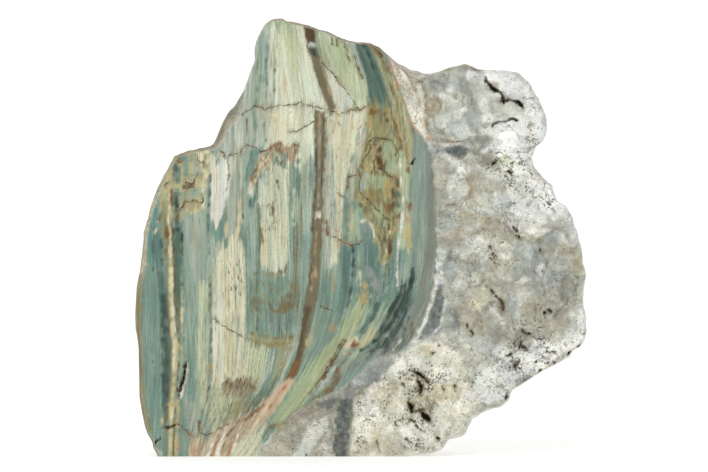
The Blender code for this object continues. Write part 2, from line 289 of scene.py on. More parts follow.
# THE GRAIN OF THE WOOD
# The trunk's fibres run upright and sweep to the lower left beside the grey stone. A fibre is
# named by the photograph column that it crosses at mid height, so that bands can follow it.
PIXEL = 0.38                    # one pixel of the photograph on the polished face
MIDDLE_COLUMN, BASE_ROW = 360.0, 456.5  # where the photograph has x = 0 and the sawn base
LAYER = 12.0                    # patterns change with the depth over this many pixels
spot_x = MIDDLE_COLUMN + points[:, 0] / PIXEL
spot_y = BASE_ROW - points[:, 2] / PIXEL
deep = points[:, 1] / PIXEL
HEIGHTS = (20, 60, 100, 140, 180, 220, 260, 300, 340, 380, 420, 458)
FIBRES = {
    100: (100,) * 12,
    140: (140, 140, 140, 140, 140, 140, 140, 140, 140, 140, 141, 142),
    170: (170, 170, 170, 168, 167, 167, 169, 171, 173, 172, 170, 167),
    208: (209, 209, 209, 209, 209, 209, 208, 208, 207, 206, 198, 189),
    240: (243, 242, 241, 240, 240, 240, 241, 242, 243, 240, 226, 206),
    270: (268, 268, 267, 265, 264, 265, 266, 267, 268, 262, 242, 219),
    316: (306, 314, 325, 320, 318, 316, 315, 313, 305, 288, 262, 236),
    345: (334, 345, 347, 343, 342, 342, 341, 339, 328, 306, 280, 255),
    375: (350, 367, 380, 378, 377, 376, 375, 372, 356, 330, 298, 270),
    402: (374, 388, 399, 404, 403, 401, 399, 394, 370, 344, 316, 290),
    424: (400, 408, 416, 424, 424, 424, 423, 417, 398, 362, 330, 306),
    620: (620,) * 12,
}


def fibre_at(x, y):
    """Which fibre passes a point: between the two nearest fibres of the list at that height, by
    the share of the way from one to the other."""
    lines = [np.interp(y, HEIGHTS, places) for places in FIBRES.values()]
    names = list(FIBRES)
    fibre = np.full(np.shape(x), float(names[0]))
    for n in range(len(names) - 1):
        share = np.clip((x - lines[n]) / (lines[n + 1] - lines[n]), 0.0, 1.0)
        fibre = fibre + share * (names[n + 1] - names[n])
    return fibre


grain = fibre_at(spot_x, spot_y)
lean = ((fibre_at(spot_x, spot_y) - fibre_at(spot_x, spot_y + 2.0))
        / (fibre_at(spot_x + 2.0, spot_y) - fibre_at(spot_x, spot_y)))


def lumpy(seed, wide, high):
    """Smooth lumps from -1 to 1 of this width and height on the face."""
    return wave(spot_x, spot_y, deep, (wide, high, LAYER), seed)


def fibrous(seed, wide, high, shift=0.0):
    """The same, with its width counted across the fibres and its height along them."""
    return wave(grain, spot_y, deep + shift, (wide, high, LAYER), seed)


feather = fibrous(31, 1.7, 60.0) + 0.7 * fibrous(32, 3.9, 90.0)
ragged = lumpy(33, 5.0, 5.0) + 0.6 * lumpy(34, 2.3, 2.3)
wander = fibrous(35, 2.4, 26.0)


def frayed(amount):
    """The places of the face, each moved along its own fibre by as much as said and a tenth of
    that across it."""
    along = amount * feather
    return spot_x + lean * along + 0.1 * amount * wander, spot_y + along


# THE COLOURS OF THE STONE
# Named as a maker would name them, 0 to 255 as seen in even light.
COLOURS = {
    "teal": (112, 142, 128), "light teal": (144, 165, 148), "blue teal": (92, 122, 114),
    "dark teal": (74, 100, 90), "deep teal": (42, 60, 55), "pine": (94, 112, 86),
    "sea green": (160, 176, 142), "grey teal": (163, 172, 155), "pale grey": (182, 190, 173),
    "mist": (214, 215, 197), "sage": (187, 194, 156), "green sage": (172, 188, 146),
    "tongue": (168, 178, 137), "pale sage": (214, 219, 192), "cream": (219, 216, 186),
    "white": (236, 232, 218), "butter": (205, 199, 158), "straw": (192, 180, 132),
    "olive": (150, 146, 104), "moss": (133, 125, 82), "brown olive": (116, 105, 72),
    "taupe": (114, 106, 82), "dark taupe": (88, 76, 54), "brown": (80, 56, 30), "rust": (118, 82, 46),
    "orange": (168, 122, 80), "terracotta": (174, 144, 112), "salmon": (200, 174, 146),
    "peach": (213, 199, 164), "ochre": (174, 158, 106), "gold": (184, 176, 128), "tan": (160, 146, 114),
    "vein": (184, 168, 116), "slate": (98, 108, 106), "dark slate": (64, 74, 74),
    "blue grey": (138, 152, 141), "band grey": (122, 128, 116), "stone grey": (182, 183, 168),
    "light stone": (214, 216, 204), "white stone": (246, 247, 241), "dull stone": (152, 148, 132),
    "mauve": (140, 146, 142), "rind": (226, 225, 209), "chalk": (242, 241, 230),
    "dirty rind": (184, 180, 154), "warm grey": (176, 171, 153), "pale blue": (196, 204, 200),
    "cool grey": (156, 162, 154), "milk": (228, 226, 210), "lagoon": (98, 142, 136),
    "night teal": (52, 78, 69),
}


def linear(name):
    """A named colour as light: each share s of 255 becomes ((s + 0.055) / 1.055) ** 2.4."""
    share = np.array(COLOURS[name]) / 255.0
    return ((share + 0.055) / 1.055) ** 2.4


ground = np.ones((point_count, 3)) * linear("teal")           # the main colour of each point
streak = np.ones((point_count, 3)) * linear("light teal")     # the colour of its fine fibres
streaks = np.full(point_count, 0.5)                          # how much these show


def soft(distance, width):
    """1 inside, 0 outside, fading over the width round a distance of nothing."""
    return np.clip(0.5 + distance / width, 0.0, 1.0)


SOAKED = 0.6                    # how much a stain without fibres of its own soaks into those there


def stain(mask, colour, fibres=None, strength=None):
    """Lay a colour over the masked points, with the colour and strength of its fibres; where
    none is named, it soaks into the fibres that are there."""
    mask = mask[:, None]
    ground[:] = ground * (1.0 - mask) + linear(colour) * mask
    if fibres:
        streak[:] = streak * (1.0 - mask) + linear(fibres) * mask
    else:
        streak[:] = streak * (1.0 - SOAKED * mask) + linear(colour) * SOAKED * mask
    if strength is not None:
        streaks[:] = streaks * (1.0 - mask[:, 0]) + strength * mask[:, 0]


def stretches(marks, x, y):
    """For each stretch of the line through the points: its run, how far every place is over and
    down from the nearest point of it, and the width that the points' third number gives."""
    line = np.array([tuple(p) + (0.0,) * (3 - len(p)) for p in marks], float)
    for start, end in zip(line[:-1], line[1:]):
        run = end[:2] - start[:2]
        length = max(run @ run, 1e-9)
        share = np.clip(((x - start[0]) * run[0] + (y - start[1]) * run[1]) / length, 0.0, 1.0)
        yield (run, x - start[0] - share * run[0], y - start[1] - share * run[1],
               start[2] + share * (end[2] - start[2]))


def reach_of(marks, x, y):
    """Distance of every place from a line through the points, and its half width there."""
    near = np.full(np.shape(x), 1e6)
    width = np.zeros(np.shape(x))
    for _, over, down, wide in stretches(marks, x, y):
        away = np.hypot(over, down)
        closer = away < near
        near = np.where(closer, away, near)
        width = np.where(closer, wide, width)
    return near, width


def stroke(half_width, marks, blur, rough, fray=0.0):
    """Mask of a line through the points, as wide as said and as each point's third number adds."""
    near, width = reach_of(marks, *frayed(fray))
    return soft(half_width + width - near + rough * ragged, blur)


def patch(marks, blur, rough, fray=0.0, comb=0.0):
    """Mask of the area inside a closed line: inside where a ray to the right crosses it an odd
    number of times. Its edge is rough, and combed out into fibres where said."""
    x, y = frayed(fray)
    line = marks + marks[:1]
    near, _ = reach_of(line, x, y)
    inside = np.zeros(point_count, bool)
    for (x0, y0), (x1, y1) in zip(line[:-1], line[1:]):
        if y1 != y0:
            inside ^= ((y0 > y) != (y1 > y)) & (x < x0 + (y - y0) / (y1 - y0) * (x1 - x0))
    return soft(np.where(inside, near, -near) + rough * ragged + comb * feather, blur)


# THE WOOD
# Silica took its colour from the bog water growth by growth and ran up and down the fibres, so
# each area frays along them: colour, colour and strength of its fibres, corners.
WOOD = (
    # The left lobe, from its skin to the grey line.
    ("teal", "light teal", 0.6, ((100, 140), (212, 146), (212, 470), (100, 470))),
    ("lagoon", "blue teal", 0.3, ((146, 190), (161, 192), (163, 226), (158, 262), (148, 262),
     (144, 228))),
    ("blue teal", "teal", 0.5, ((153, 228), (160, 224), (161, 262), (168, 268), (168, 300), (153, 262))),
    ("dark teal", "blue teal", 0.5, ((157, 275), (168, 266), (169, 300), (170, 345), (169, 422),
     (160, 424), (160, 380), (159, 345), (157, 310))),
    ("pine", "dark teal", 0.6, ((171, 190), (177, 193), (176, 222), (181, 232), (182, 256), (181, 292),
     (180, 330), (178, 345), (175, 330), (172, 262))),
    ("light teal", "grey teal", 0.5, ((181, 214), (208, 200), (208, 420), (196, 430), (184, 420),
     (182, 400), (187, 360), (183, 330), (182, 270))),
    ("grey teal", "light teal", 0.3, ((183, 216), (200, 212), (204, 262), (196, 290), (190, 262))),
    ("teal", "light teal", 0.6, ((183, 320), (193, 330), (195, 400), (184, 402), (187, 360))),
    ("sage", "cream", 0.7, ((199, 285), (206, 285), (206, 360), (209, 400), (206, 412), (200, 400),
     (197, 350), (198, 310))),
    ("grey teal", "mauve", 0.6, ((184, 395), (196, 402), (198, 432), (188, 428), (183, 415))),
    # The pale bands between the grey line and the middle.
    ("grey teal", "sage", 0.7, ((208, 240), (224, 240), (222, 430), (206, 434), (208, 340))),
    ("milk", "cream", 0.5, ((210, 158), (226, 156), (227, 185), (224, 205), (220, 218), (214, 226),
     (209, 222), (209, 200))),
    ("mist", "peach", 0.4, ((227, 160), (237, 158), (234, 172), (229, 192), (225, 205), (227, 180))),
    ("pale grey", "mist", 0.6, ((213, 152), (222, 135), (232, 120), (250, 60), (252, 112), (246, 135),
     (242, 152), (236, 158), (222, 156))),
    ("grey teal", "pale grey", 0.7, ((236, 158), (246, 150), (246, 172), (240, 190), (241, 215),
     (236, 240), (226, 240), (224, 210), (230, 190))),
    ("cream", "butter", 0.6, ((222, 244), (232, 238), (241, 240), (244, 262), (245, 340), (247, 384),
     (222, 384), (211, 380), (210, 330), (212, 262))),
    ("mist", "cream", 0.5, ((212, 290), (219, 290), (220, 372), (211, 372))),
    ("butter", "cream", 0.6, ((222, 325), (232, 330), (236, 372), (222, 372))),
    ("light teal", "pale grey", 0.7, ((241, 158), (256, 150), (258, 165), (254, 180), (256, 200),
     (258, 225), (257, 274), (245, 276), (244, 240), (241, 215), (240, 185))),
    ("pale sage", "butter", 0.7, ((258, 186), (270, 166), (290, 164), (290, 190), (288, 225), (287, 262),
     (284, 272), (262, 272), (258, 262))),
    ("pine", "sea green", 0.6, ((256, 212), (259, 212), (259.4, 270), (256.4, 272))),
    ("teal", "pale sage", 0.8, ((289, 168), (298, 166), (300, 200), (299, 215), (296, 225), (294, 240),
     (291, 262), (287, 262), (288, 225))),
    ("light teal", "mist", 0.7, ((299, 146), (313, 146), (311, 200), (309, 240), (308, 280), (303, 300),
     (300, 330), (296, 352), (290, 352), (298, 300), (299, 260), (300, 220))),
    ("brown olive", "olive", 0.7, ((296, 212), (300, 206), (299, 235), (297, 262), (298, 300), (295, 318),
     (290, 318), (291, 290), (293, 250))),
    ("teal", "light teal", 0.8, ((245, 276), (258, 272), (284, 272), (290, 262), (293, 272), (292, 290),
     (296, 330), (285, 338), (262, 338), (246, 334))),
    ("blue teal", "light teal", 0.8, ((270, 312), (288, 310), (290, 336), (268, 338))),
    ("sage", "pale sage", 0.6, ((245, 340), (262, 342), (268, 350), (266, 372), (257, 392), (246, 384))),
    ("grey teal", "pale sage", 0.7, ((284, 338), (296, 340), (292, 356), (284, 372), (276, 390),
     (270, 396), (276, 372), (284, 352))),
    ("olive", "moss", 0.7, ((276, 350), (284, 340), (286, 356), (280, 374), (270, 390), (262, 398),
     (268, 384), (274, 366))),
    ("pale grey", "mist", 0.5, ((269, 350), (277, 350), (272, 366), (262, 384), (255, 394), (262, 372))),
    ("pine", "blue teal", 0.6, ((272, 378), (280, 374), (271, 390), (260, 405), (250, 413), (243, 408),
     (250, 396), (260, 388))),
    ("sage", "grey teal", 0.7, ((209, 384), (224, 384), (240, 394), (232, 414), (220, 426), (208, 412))),
    ("olive", "sea green", 0.6, ((228, 400), (246, 394), (248, 404), (240, 414), (228, 420), (222, 424))),
    # The top hump.
    ("pale sage", "mist", 0.7, ((262, 8), (300, 8), (330, 112), (311, 150), (262, 150))),
    ("pale grey", "light teal", 0.5, ((236, 10), (268, 10), (270, 30), (267, 60), (268, 110), (262, 150),
     (240, 152), (246, 112), (250, 60))),
    ("light teal", "pale grey", 0.6, ((252, 30), (266, 24), (267, 60), (262, 84), (259, 104), (252, 110),
     (254, 80))),
    ("sea green", "pale grey", 0.6, ((264, 14), (292, 18), (293, 34), (284, 28), (266, 30))),
    ("sage", "pale sage", 0.6, ((282, 30), (296, 30), (300, 76), (290, 72))),
    ("cream", "pale sage", 0.5, ((266, 112), (278, 106), (312, 108), (311, 124), (296, 130), (288, 146),
     (268, 148))),
    ("pale sage", "mist", 0.7, ((288, 132), (312, 124), (313, 160), (296, 168), (290, 160))),
    ("peach", "cream", 0.6, ((280, 78), (286, 78), (290, 104), (284, 104))),
    # Right of the brown band.
    ("sage", "mist", 0.5, ((314, 30), (343, 36), (352, 46), (358, 66), (364, 84), (370, 104), (362, 110),
     (340, 114), (334, 106), (322, 66))),
    ("green sage", "sage", 0.5, ((334, 42), (345, 44), (346, 66), (338, 68))),
    ("mist", "pale grey", 0.5, ((321, 64), (340, 84), (358, 110), (340, 114), (334, 108), (328, 88))),
    ("light teal", "mist", 0.6, ((348, 42), (356, 42), (362, 60), (366, 84), (360, 80), (354, 62))),
    ("cream", "sage", 0.7, ((324, 112), (362, 108), (366, 116), (364, 138), (358, 142), (350, 158),
     (346, 176), (343, 196), (340, 235), (337, 266), (328, 276), (322, 240), (324, 190))),
    ("grey teal", "mist", 0.7, ((322, 130), (330, 128), (332, 196), (336, 216), (330, 240), (330, 270),
     (324, 290), (321, 280))),
    ("grey teal", "pale grey", 0.6, ((357, 136), (365, 138), (361, 160), (357, 176), (363, 180),
     (360, 194), (350, 202), (344, 200), (346, 178), (352, 156))),
    ("teal", "light teal", 0.7, ((322, 276), (334, 262), (346, 256), (362, 262), (362, 300), (346, 332),
     (318, 336), (317, 305))),
    ("blue teal", "dark teal", 0.7, ((340, 246), (350, 248), (350, 300), (344, 322), (338, 320),
     (340, 290))),
    ("teal", "blue teal", 0.5, ((352, 248), (362, 246), (363, 262), (358, 300), (351, 300))),
    ("sea green", "pale grey", 0.5, ((345, 220), (358, 216), (360, 236), (352, 244), (344, 238))),
    # The dark tongue and the brown bog stain below it.
    ("dark teal", "blue teal", 0.5, ((354, 40), (363, 36), (371, 48), (377, 60), (382, 78), (388, 96),
     (392, 110), (384, 112), (370, 108), (367, 84), (360, 62))),
    ("olive", "sage", 0.7, ((370, 44), (380, 56), (386, 66), (394, 88), (400, 106), (402, 145),
     (396, 140), (392, 112), (388, 96), (382, 78), (375, 58))),
    ("moss", "olive", 0.6, ((366, 112), (372, 107), (384, 107), (392, 112), (398, 125), (402, 142),
     (404, 160), (397, 176), (396, 215), (392, 238), (388, 268), (380, 262), (376, 245), (370, 225),
     (362, 210), (352, 204), (356, 186), (361, 160), (366, 142))),
    ("gold", "ochre", 0.7, ((390, 72), (398, 82), (404, 102), (409, 125), (413, 145), (412, 158),
     (406, 166), (402, 150), (400, 125), (395, 98))),
    ("pine", "moss", 0.6, ((376, 226), (392, 232), (390, 262), (385, 278), (378, 272), (374, 250))),
    ("blue teal", "teal", 0.6, ((362, 238), (371, 232), (378, 245), (381, 262), (384, 284), (378, 300),
     (366, 300), (362, 262))),
    ("sea green", "cream", 0.7, ((397, 150), (406, 150), (411, 170), (408, 190), (411, 210), (411, 250),
     (409, 262), (396, 262), (396, 200))),
    ("teal", "light teal", 0.8, ((386, 262), (392, 250), (410, 250), (412, 270), (404, 296), (392, 306),
     (384, 300))),
    ("blue grey", "light teal", 0.5, ((411, 130), (424, 134), (426, 200), (425, 262), (418, 290),
     (412, 290), (411, 250), (408, 190), (412, 165))),
    ("band grey", "blue grey", 0.7, ((420, 126), (430, 140), (440, 200), (441, 262), (436, 292),
     (428, 314), (416, 338), (404, 352), (394, 346), (404, 324), (416, 292), (424, 262), (425, 200),
     (423, 150))),
    # The lower right, where the fibres sweep under the grey stone.
    ("teal", "grey teal", 0.7, ((302, 340), (318, 338), (340, 330), (330, 344), (310, 362), (296, 376),
     (300, 356))),
    ("slate", "pale grey", 0.6, ((404, 300), (410, 296), (410, 322), (404, 340), (392, 348), (376, 356),
     (352, 366), (344, 380), (338, 376), (352, 352), (376, 344), (392, 330))),
    ("tongue", "green sage", 0.6, ((350, 306), (359, 298), (367, 302), (368, 312), (362, 322), (354, 334),
     (344, 342), (336, 352), (322, 378), (312, 394), (302, 406), (288, 419), (268, 426), (274, 414),
     (284, 398), (296, 380), (304, 366), (316, 350), (326, 340), (338, 330), (346, 318))),
    ("light teal", "sea green", 0.6, ((372, 304), (382, 304), (389, 312), (384, 324), (376, 332),
     (366, 330), (368, 316))),
    ("gold", "cream", 0.6, ((368, 326), (380, 326), (374, 336), (362, 346), (354, 350), (360, 338))),
    ("sea green", "light teal", 0.6, ((358, 344), (366, 344), (354, 356), (346, 370), (340, 374),
     (348, 356))),
    ("deep teal", "dark teal", 0.5, ((411, 270), (413, 284), (404, 300), (397, 316), (389, 330),
     (379, 340), (372, 342), (382, 326), (388, 310), (396, 294), (404, 282))),
    ("dark slate", "slate", 0.7, ((404, 330), (408, 336), (404, 350), (392, 352), (378, 350), (364, 352),
     (372, 344), (386, 342), (396, 338))),
    # The fan of rust at the foot of the fibres.
    ("salmon", "cream", 0.9, ((186, 462), (190, 440), (198, 434), (214, 432), (224, 424), (236, 414),
     (250, 408), (262, 400), (274, 392), (284, 384), (290, 376), (294, 380), (284, 396), (270, 416),
     (256, 432), (246, 450), (236, 462))),
    ("cream", "sage", 0.6, ((226, 462), (238, 444), (256, 428), (266, 424), (264, 440), (262, 462))),
)
for n, (colour, fibre_colour, strength, corners) in enumerate(WOOD):
    through = fibrous(36, 2.2, 55.0, shift=30.0 * n)
    area = patch(corners, blur=2.6, rough=0.8, fray=9.0, comb=1.3)
    stain(area * np.clip(1.0 + 0.45 * through, 0.0, 1.0), colour, fibre_colour, strength)
# Over all of it but the bog stain and the smooth tongues single fibres took more or less of each
# colour: colour, how much, width and length of the fibres, and how few they are.
smooth = np.maximum.reduce([patch(marks, blur=8.0, rough=2.0) for marks in (
    ((354, 34), (370, 42), (402, 110), (412, 160), (400, 260), (372, 260), (352, 204), (366, 110)),
    ((262, 110), (312, 106), (312, 140), (266, 146)), ((280, 40), (310, 60), (320, 104), (282, 100)),
    ((206, 160), (232, 158), (226, 240), (208, 250)), ((350, 298), (370, 300), (280, 420), (268, 420)),
    ((180, 212), (208, 204), (208, 300), (184, 300)), ((322, 110), (364, 110), (350, 200), (322, 262)),
    ((136, 260), (160, 200), (162, 400), (136, 420)), ((332, 44), (350, 60), (362, 108), (330, 100)),
    ((411, 130), (430, 136), (440, 262), (412, 330), (404, 300), (412, 262)))])
for seed, (colour, strength, wide, long, few) in enumerate((
        ("pale sage", 0.18, 1.5, 44.0, 0.30), ("dark teal", 0.24, 1.5, 60.0, 0.34),
        ("butter", 0.16, 2.2, 70.0, 0.42), ("teal", 0.18, 3.2, 90.0, 0.34),
        ("pine", 0.26, 1.4, 30.0, 0.45), ("brown", 0.34, 1.3, 16.0, 0.62),
        ("mist", 0.16, 1.4, 30.0, 0.50))):
    strand = fibrous(37 + seed, wide, long)
    stain(strength * (1.0 - 0.75 * smooth) * soft(strand - few, 0.35), colour)

# THE BROWN BAND OF THE WOOD
# One growth ring went to brown, from the top edge to the foot, with a step at the cross crack.
BROWN_BAND = (
    ("dark taupe", ((302, 24), (313, 27), (315, 46), (306, 46))),
    ("taupe", ((305, 45), (314, 45), (320, 59), (325, 75), (329, 90), (333, 103), (334, 109), (327, 109),
     (323, 99), (317, 81), (311, 62))),
    ("taupe", ((312.5, 110), (324, 112), (324, 140), (322.5, 170), (321.5, 200), (320.5, 230),
     (319.5, 262), (318, 285), (316, 300), (310.5, 320), (305.5, 345), (301, 360), (294, 360), (298, 345),
     (301, 325), (303.5, 300), (306, 285), (309, 262), (311, 230), (312.5, 200), (314.5, 170),
     (314, 140))),
    ("dark taupe", ((303, 306), (310, 306), (305, 330), (301, 350), (299, 366), (292, 366), (297, 345))),
    ("rust", ((293, 360), (301, 360), (296, 374), (287, 384), (283, 382))),
    ("salmon", ((287, 378), (294, 378), (284, 392), (272, 408), (256, 424), (246, 430), (262, 404),
     (276, 388))),
    ("brown", ((303, 26), (313, 28), (314, 40), (309, 42), (305, 39))),
    ("deep teal", ((308, 47), (314, 50), (316, 57), (311, 57))),
)
for colour, corners in BROWN_BAND:
    stain(patch(corners, blur=1.6, rough=0.7, fray=1.0), colour, "moss", 0.35)

# THE MARKS OF THE WOOD
# What doesn't keep to the fibres: clots, fillings, rust spots and seams. Where the bog water
# stood in the wood its colours lie in small clots: corners of the area, then for each kind of
# clot its colour, strength, width, height and how few they are.
CLOTS = (
    (((366, 108), (384, 105), (394, 112), (404, 145), (402, 178), (397, 215), (392, 240), (388, 268),
      (378, 262), (370, 228), (356, 208), (354, 186), (361, 160)),
     (("ochre", 0.75, 6.0, 13.0, 0.15), ("green sage", 0.65, 6.0, 15.0, 0.4),
      ("olive", 0.7, 5.0, 9.0, 0.3), ("gold", 0.6, 3.0, 8.0, 0.55), ("brown", 0.8, 4.0, 12.0, 0.62),
      ("teal", 0.45, 7.0, 14.0, 0.65), ("dark taupe", 0.7, 2.4, 7.0, 0.75))),
    (((164, 152), (182, 150), (184, 210), (168, 226), (155, 204)),
     (("straw", 0.8, 4.0, 9.0, 0.0), ("olive", 0.7, 4.0, 8.0, 0.35), ("brown", 0.7, 2.6, 7.0, 0.7))),
    (((264, 106), (300, 104), (364, 108), (366, 150), (350, 172), (324, 176), (322, 120), (270, 126)),
     (("peach", 0.4, 8.0, 14.0, 0.35), ("brown", 0.6, 2.0, 3.2, 1.05))),
    (((248, 280), (292, 276), (294, 312), (286, 318), (250, 314)),
     (("olive", 0.6, 4.0, 6.0, 0.45), ("brown olive", 0.7, 3.0, 3.6, 0.7))),
    (((250, 336), (294, 336), (290, 350), (252, 346)),
     (("olive", 0.6, 3.4, 4.6, 0.2), ("brown olive", 0.6, 2.6, 3.0, 0.7))),
    (((262, 152), (272, 147), (271, 160), (258, 178), (247, 194), (246, 184), (256, 164)),
     (("peach", 0.9, 4.0, 7.0, -0.6), ("terracotta", 0.9, 2.4, 4.0, 0.1), ("rust", 0.8, 2.2, 4.0, 0.5),
      ("brown", 0.7, 1.8, 3.0, 0.9))),
    (((272, 146), (298, 142), (296, 168), (274, 170)),
     (("tan", 0.6, 3.0, 6.0, 0.35), ("brown", 0.7, 2.0, 5.0, 0.8), ("cream", 0.5, 3.0, 7.0, 0.75))),
    (((366, 40), (384, 50), (402, 84), (412, 140), (406, 160), (396, 120), (384, 76)),
     (("ochre", 0.6, 3.0, 26.0, 0.2), ("brown", 0.6, 1.6, 15.0, 0.75), ("cream", 0.5, 2.0, 20.0, 0.7))),
    (((350, 262), (392, 262), (388, 300), (372, 306), (352, 300)),
     (("blue teal", 0.6, 5.0, 12.0, 0.3), ("mist", 0.4, 3.0, 9.0, 0.8),
      ("dark teal", 0.6, 3.0, 9.0, 0.7))),
    (((372, 345), (340, 380), (300, 420), (320, 420), (352, 384), (384, 350)),
     (("blue grey", 0.6, 6.0, 9.0, 0.3), ("brown", 0.6, 2.4, 5.0, 0.85),
      ("pale grey", 0.6, 4.0, 8.0, 0.6))),
    (((190, 428), (236, 420), (226, 460), (186, 462)),
     (("peach", 0.5, 3.0, 20.0, 0.2), ("tan", 0.5, 2.4, 14.0, 0.5))),
)


def clotted(seed, wide, high):
    """Small lumps drawn out along the fibres, lumps of half their size on them, rough edges."""
    return (fibrous(seed, wide, high) + 0.7 * fibrous(seed + 1, 0.45 * wide, 0.45 * high)
            + 0.35 * ragged)


for n, (marks, clots) in enumerate(CLOTS):
    area = patch(marks, blur=5.0, rough=1.6, fray=2.0)
    for m, (colour, strength, wide, high, few) in enumerate(clots):
        stain(strength * area * soft(clotted(200 + 20 * n + 2 * m, wide, high) - few, 0.35), colour)

# Fillings and spots: colour, corners.
AREAS = (
    # The olive crown and the cellular fillings at the top of the left lobe.
    ("straw", ((158, 196), (160, 176), (166, 158), (174, 157), (176, 176), (174, 196), (172, 214),
     (166, 222), (162, 206))),
    ("straw", ((182, 150), (210, 146), (208, 180), (204, 200), (206, 212), (186, 214), (179, 224),
     (174, 216), (178, 190), (180, 166))),
    ("brown olive", ((170, 156), (181, 157), (181, 164), (174, 165))),
    ("dark teal", ((173, 164), (179, 165), (179, 179), (175, 182), (172, 176))),
    ("lagoon", ((181, 154), (187.5, 154), (187, 161), (181, 160))),
    ("teal", ((182.5, 164), (186.5, 163), (186.5, 177), (181.5, 176))),
    ("grey teal", ((191, 164), (199, 166), (201, 176), (192, 180))),
    ("light teal", ((187, 189), (201, 189), (200, 198), (186, 199))),
    ("cream", ((195, 150), (208, 148), (208, 164), (201, 166), (194, 160))),
    ("cream", ((201, 168), (207, 170), (205, 210), (200, 210), (201, 190))),
    ("taupe", ((184, 183), (191, 183.6), (193, 187), (184, 188.5))),
    ("tan", ((184, 202), (194, 201.5), (201, 203), (199, 208), (192, 209.5), (184, 206))),
    ("dark teal", ((173, 190), (178, 192), (179, 232), (181, 262), (180, 300), (175, 300), (172, 262))),
    # Stains along the second cross crack.
    ("rust", ((249, 172), (256, 170), (256, 177), (251, 182), (248, 180))),
    ("rust", ((273, 143), (280, 142), (282, 152), (276, 154))),
    ("terracotta", ((283, 148), (294, 146), (293, 161), (284, 163))),
    ("grey teal", ((262, 176), (269, 176), (266, 184), (260, 185))),
    ("mist", ((246, 186), (251, 186), (252, 196), (247, 196))),
    # Round the arcs.
    ("brown olive", ((247, 298), (257, 296), (264, 302), (260, 308), (252, 308))),
    ("olive", ((262, 272), (282, 272), (280, 277), (264, 278))),
    ("brown olive", ((282, 300), (291, 286), (293, 304), (286, 316), (276, 312))),
    ("olive", ((250, 334), (292, 336), (288, 352), (276, 348), (262, 344), (248, 342))),
    # The brown band's pale ring, pits and pinkish filling.
    ("pale grey", ((306, 43), (314, 43), (314, 46), (307, 46))),
    ("tan", ((309, 264), (315, 264), (316, 279), (308, 279))),
    ("white", ((314, 211), (319, 211), (319, 217.5), (314.5, 217.5))),
    # In the bog stain.
    ("rust", ((368, 110), (382, 109), (384, 114), (370, 115))),
    ("olive", ((371, 119), (385, 118), (386, 136), (372, 136))),
    ("grey teal", ((359, 170), (366, 172), (368, 186), (360, 192))),
    ("sea green", ((369, 176), (386, 176), (384, 190), (370, 190))),
    ("sea green", ((384, 142), (390, 146), (397, 168), (396, 178), (388, 174), (382, 158))),
    ("moss", ((362, 190), (382, 190), (384, 202), (366, 204))),
    ("ochre", ((381, 180), (390, 182), (389, 200), (382, 200))),
    ("rust", ((382, 203), (391, 206), (390, 216), (383, 212))),
    ("brown", ((375.5, 145), (380, 146), (381, 168), (377, 168))),
    ("brown", ((392, 176), (398, 176), (397.5, 190), (393, 190))),
    ("pine", ((392, 192), (399, 192), (398.5, 209), (392, 209))),
    ("brown", ((391, 213), (400, 213), (399, 220), (391, 219))),
    ("tan", ((394, 219), (399.5, 219), (398, 232), (393, 228))),
    ("brown", ((386.5, 240), (390, 240), (389.6, 252), (386.5, 252))),
    ("rust", ((404.5, 201), (410, 203), (410, 214), (405, 213))),
    ("terracotta", ((405, 213), (410, 213), (409.6, 222), (405, 222))),
    ("gold", ((404.5, 223), (410, 223), (409.6, 246), (406, 247), (403, 238))),
    ("mauve", ((360, 222), (365, 221), (370, 226), (366, 233), (361, 230))),
    ("mauve", ((362, 264), (368, 265), (376, 276), (382, 288), (380, 297), (374, 292), (364, 274))),
    ("ochre", ((359, 276), (364, 282), (368, 290), (366, 303), (358, 302))),
    # Beside the lower seams.
    ("gold", ((306, 334), (314, 336), (311, 347), (305, 344))),
    ("tan", ((328, 324), (334, 322), (333, 330), (328, 331))),
    ("peach", ((347, 338), (357, 334), (356, 344), (349, 354), (340, 362), (338, 356))),
    ("rust", ((353, 340), (357, 345), (350, 353), (343, 363), (338, 362), (348, 350))),
    ("rust", ((335, 366), (342, 368), (338, 382), (330, 392), (322, 399), (328, 386))),
    ("pale grey", ((328, 366), (334, 366), (330, 380), (318, 394), (314, 396), (322, 378))),
)
for colour, corners in AREAS:
    stain(patch(corners, blur=2.2, rough=1.4, fray=1.5) * np.clip(0.72 + 0.5 * ragged, 0.0, 1.0),
          colour)

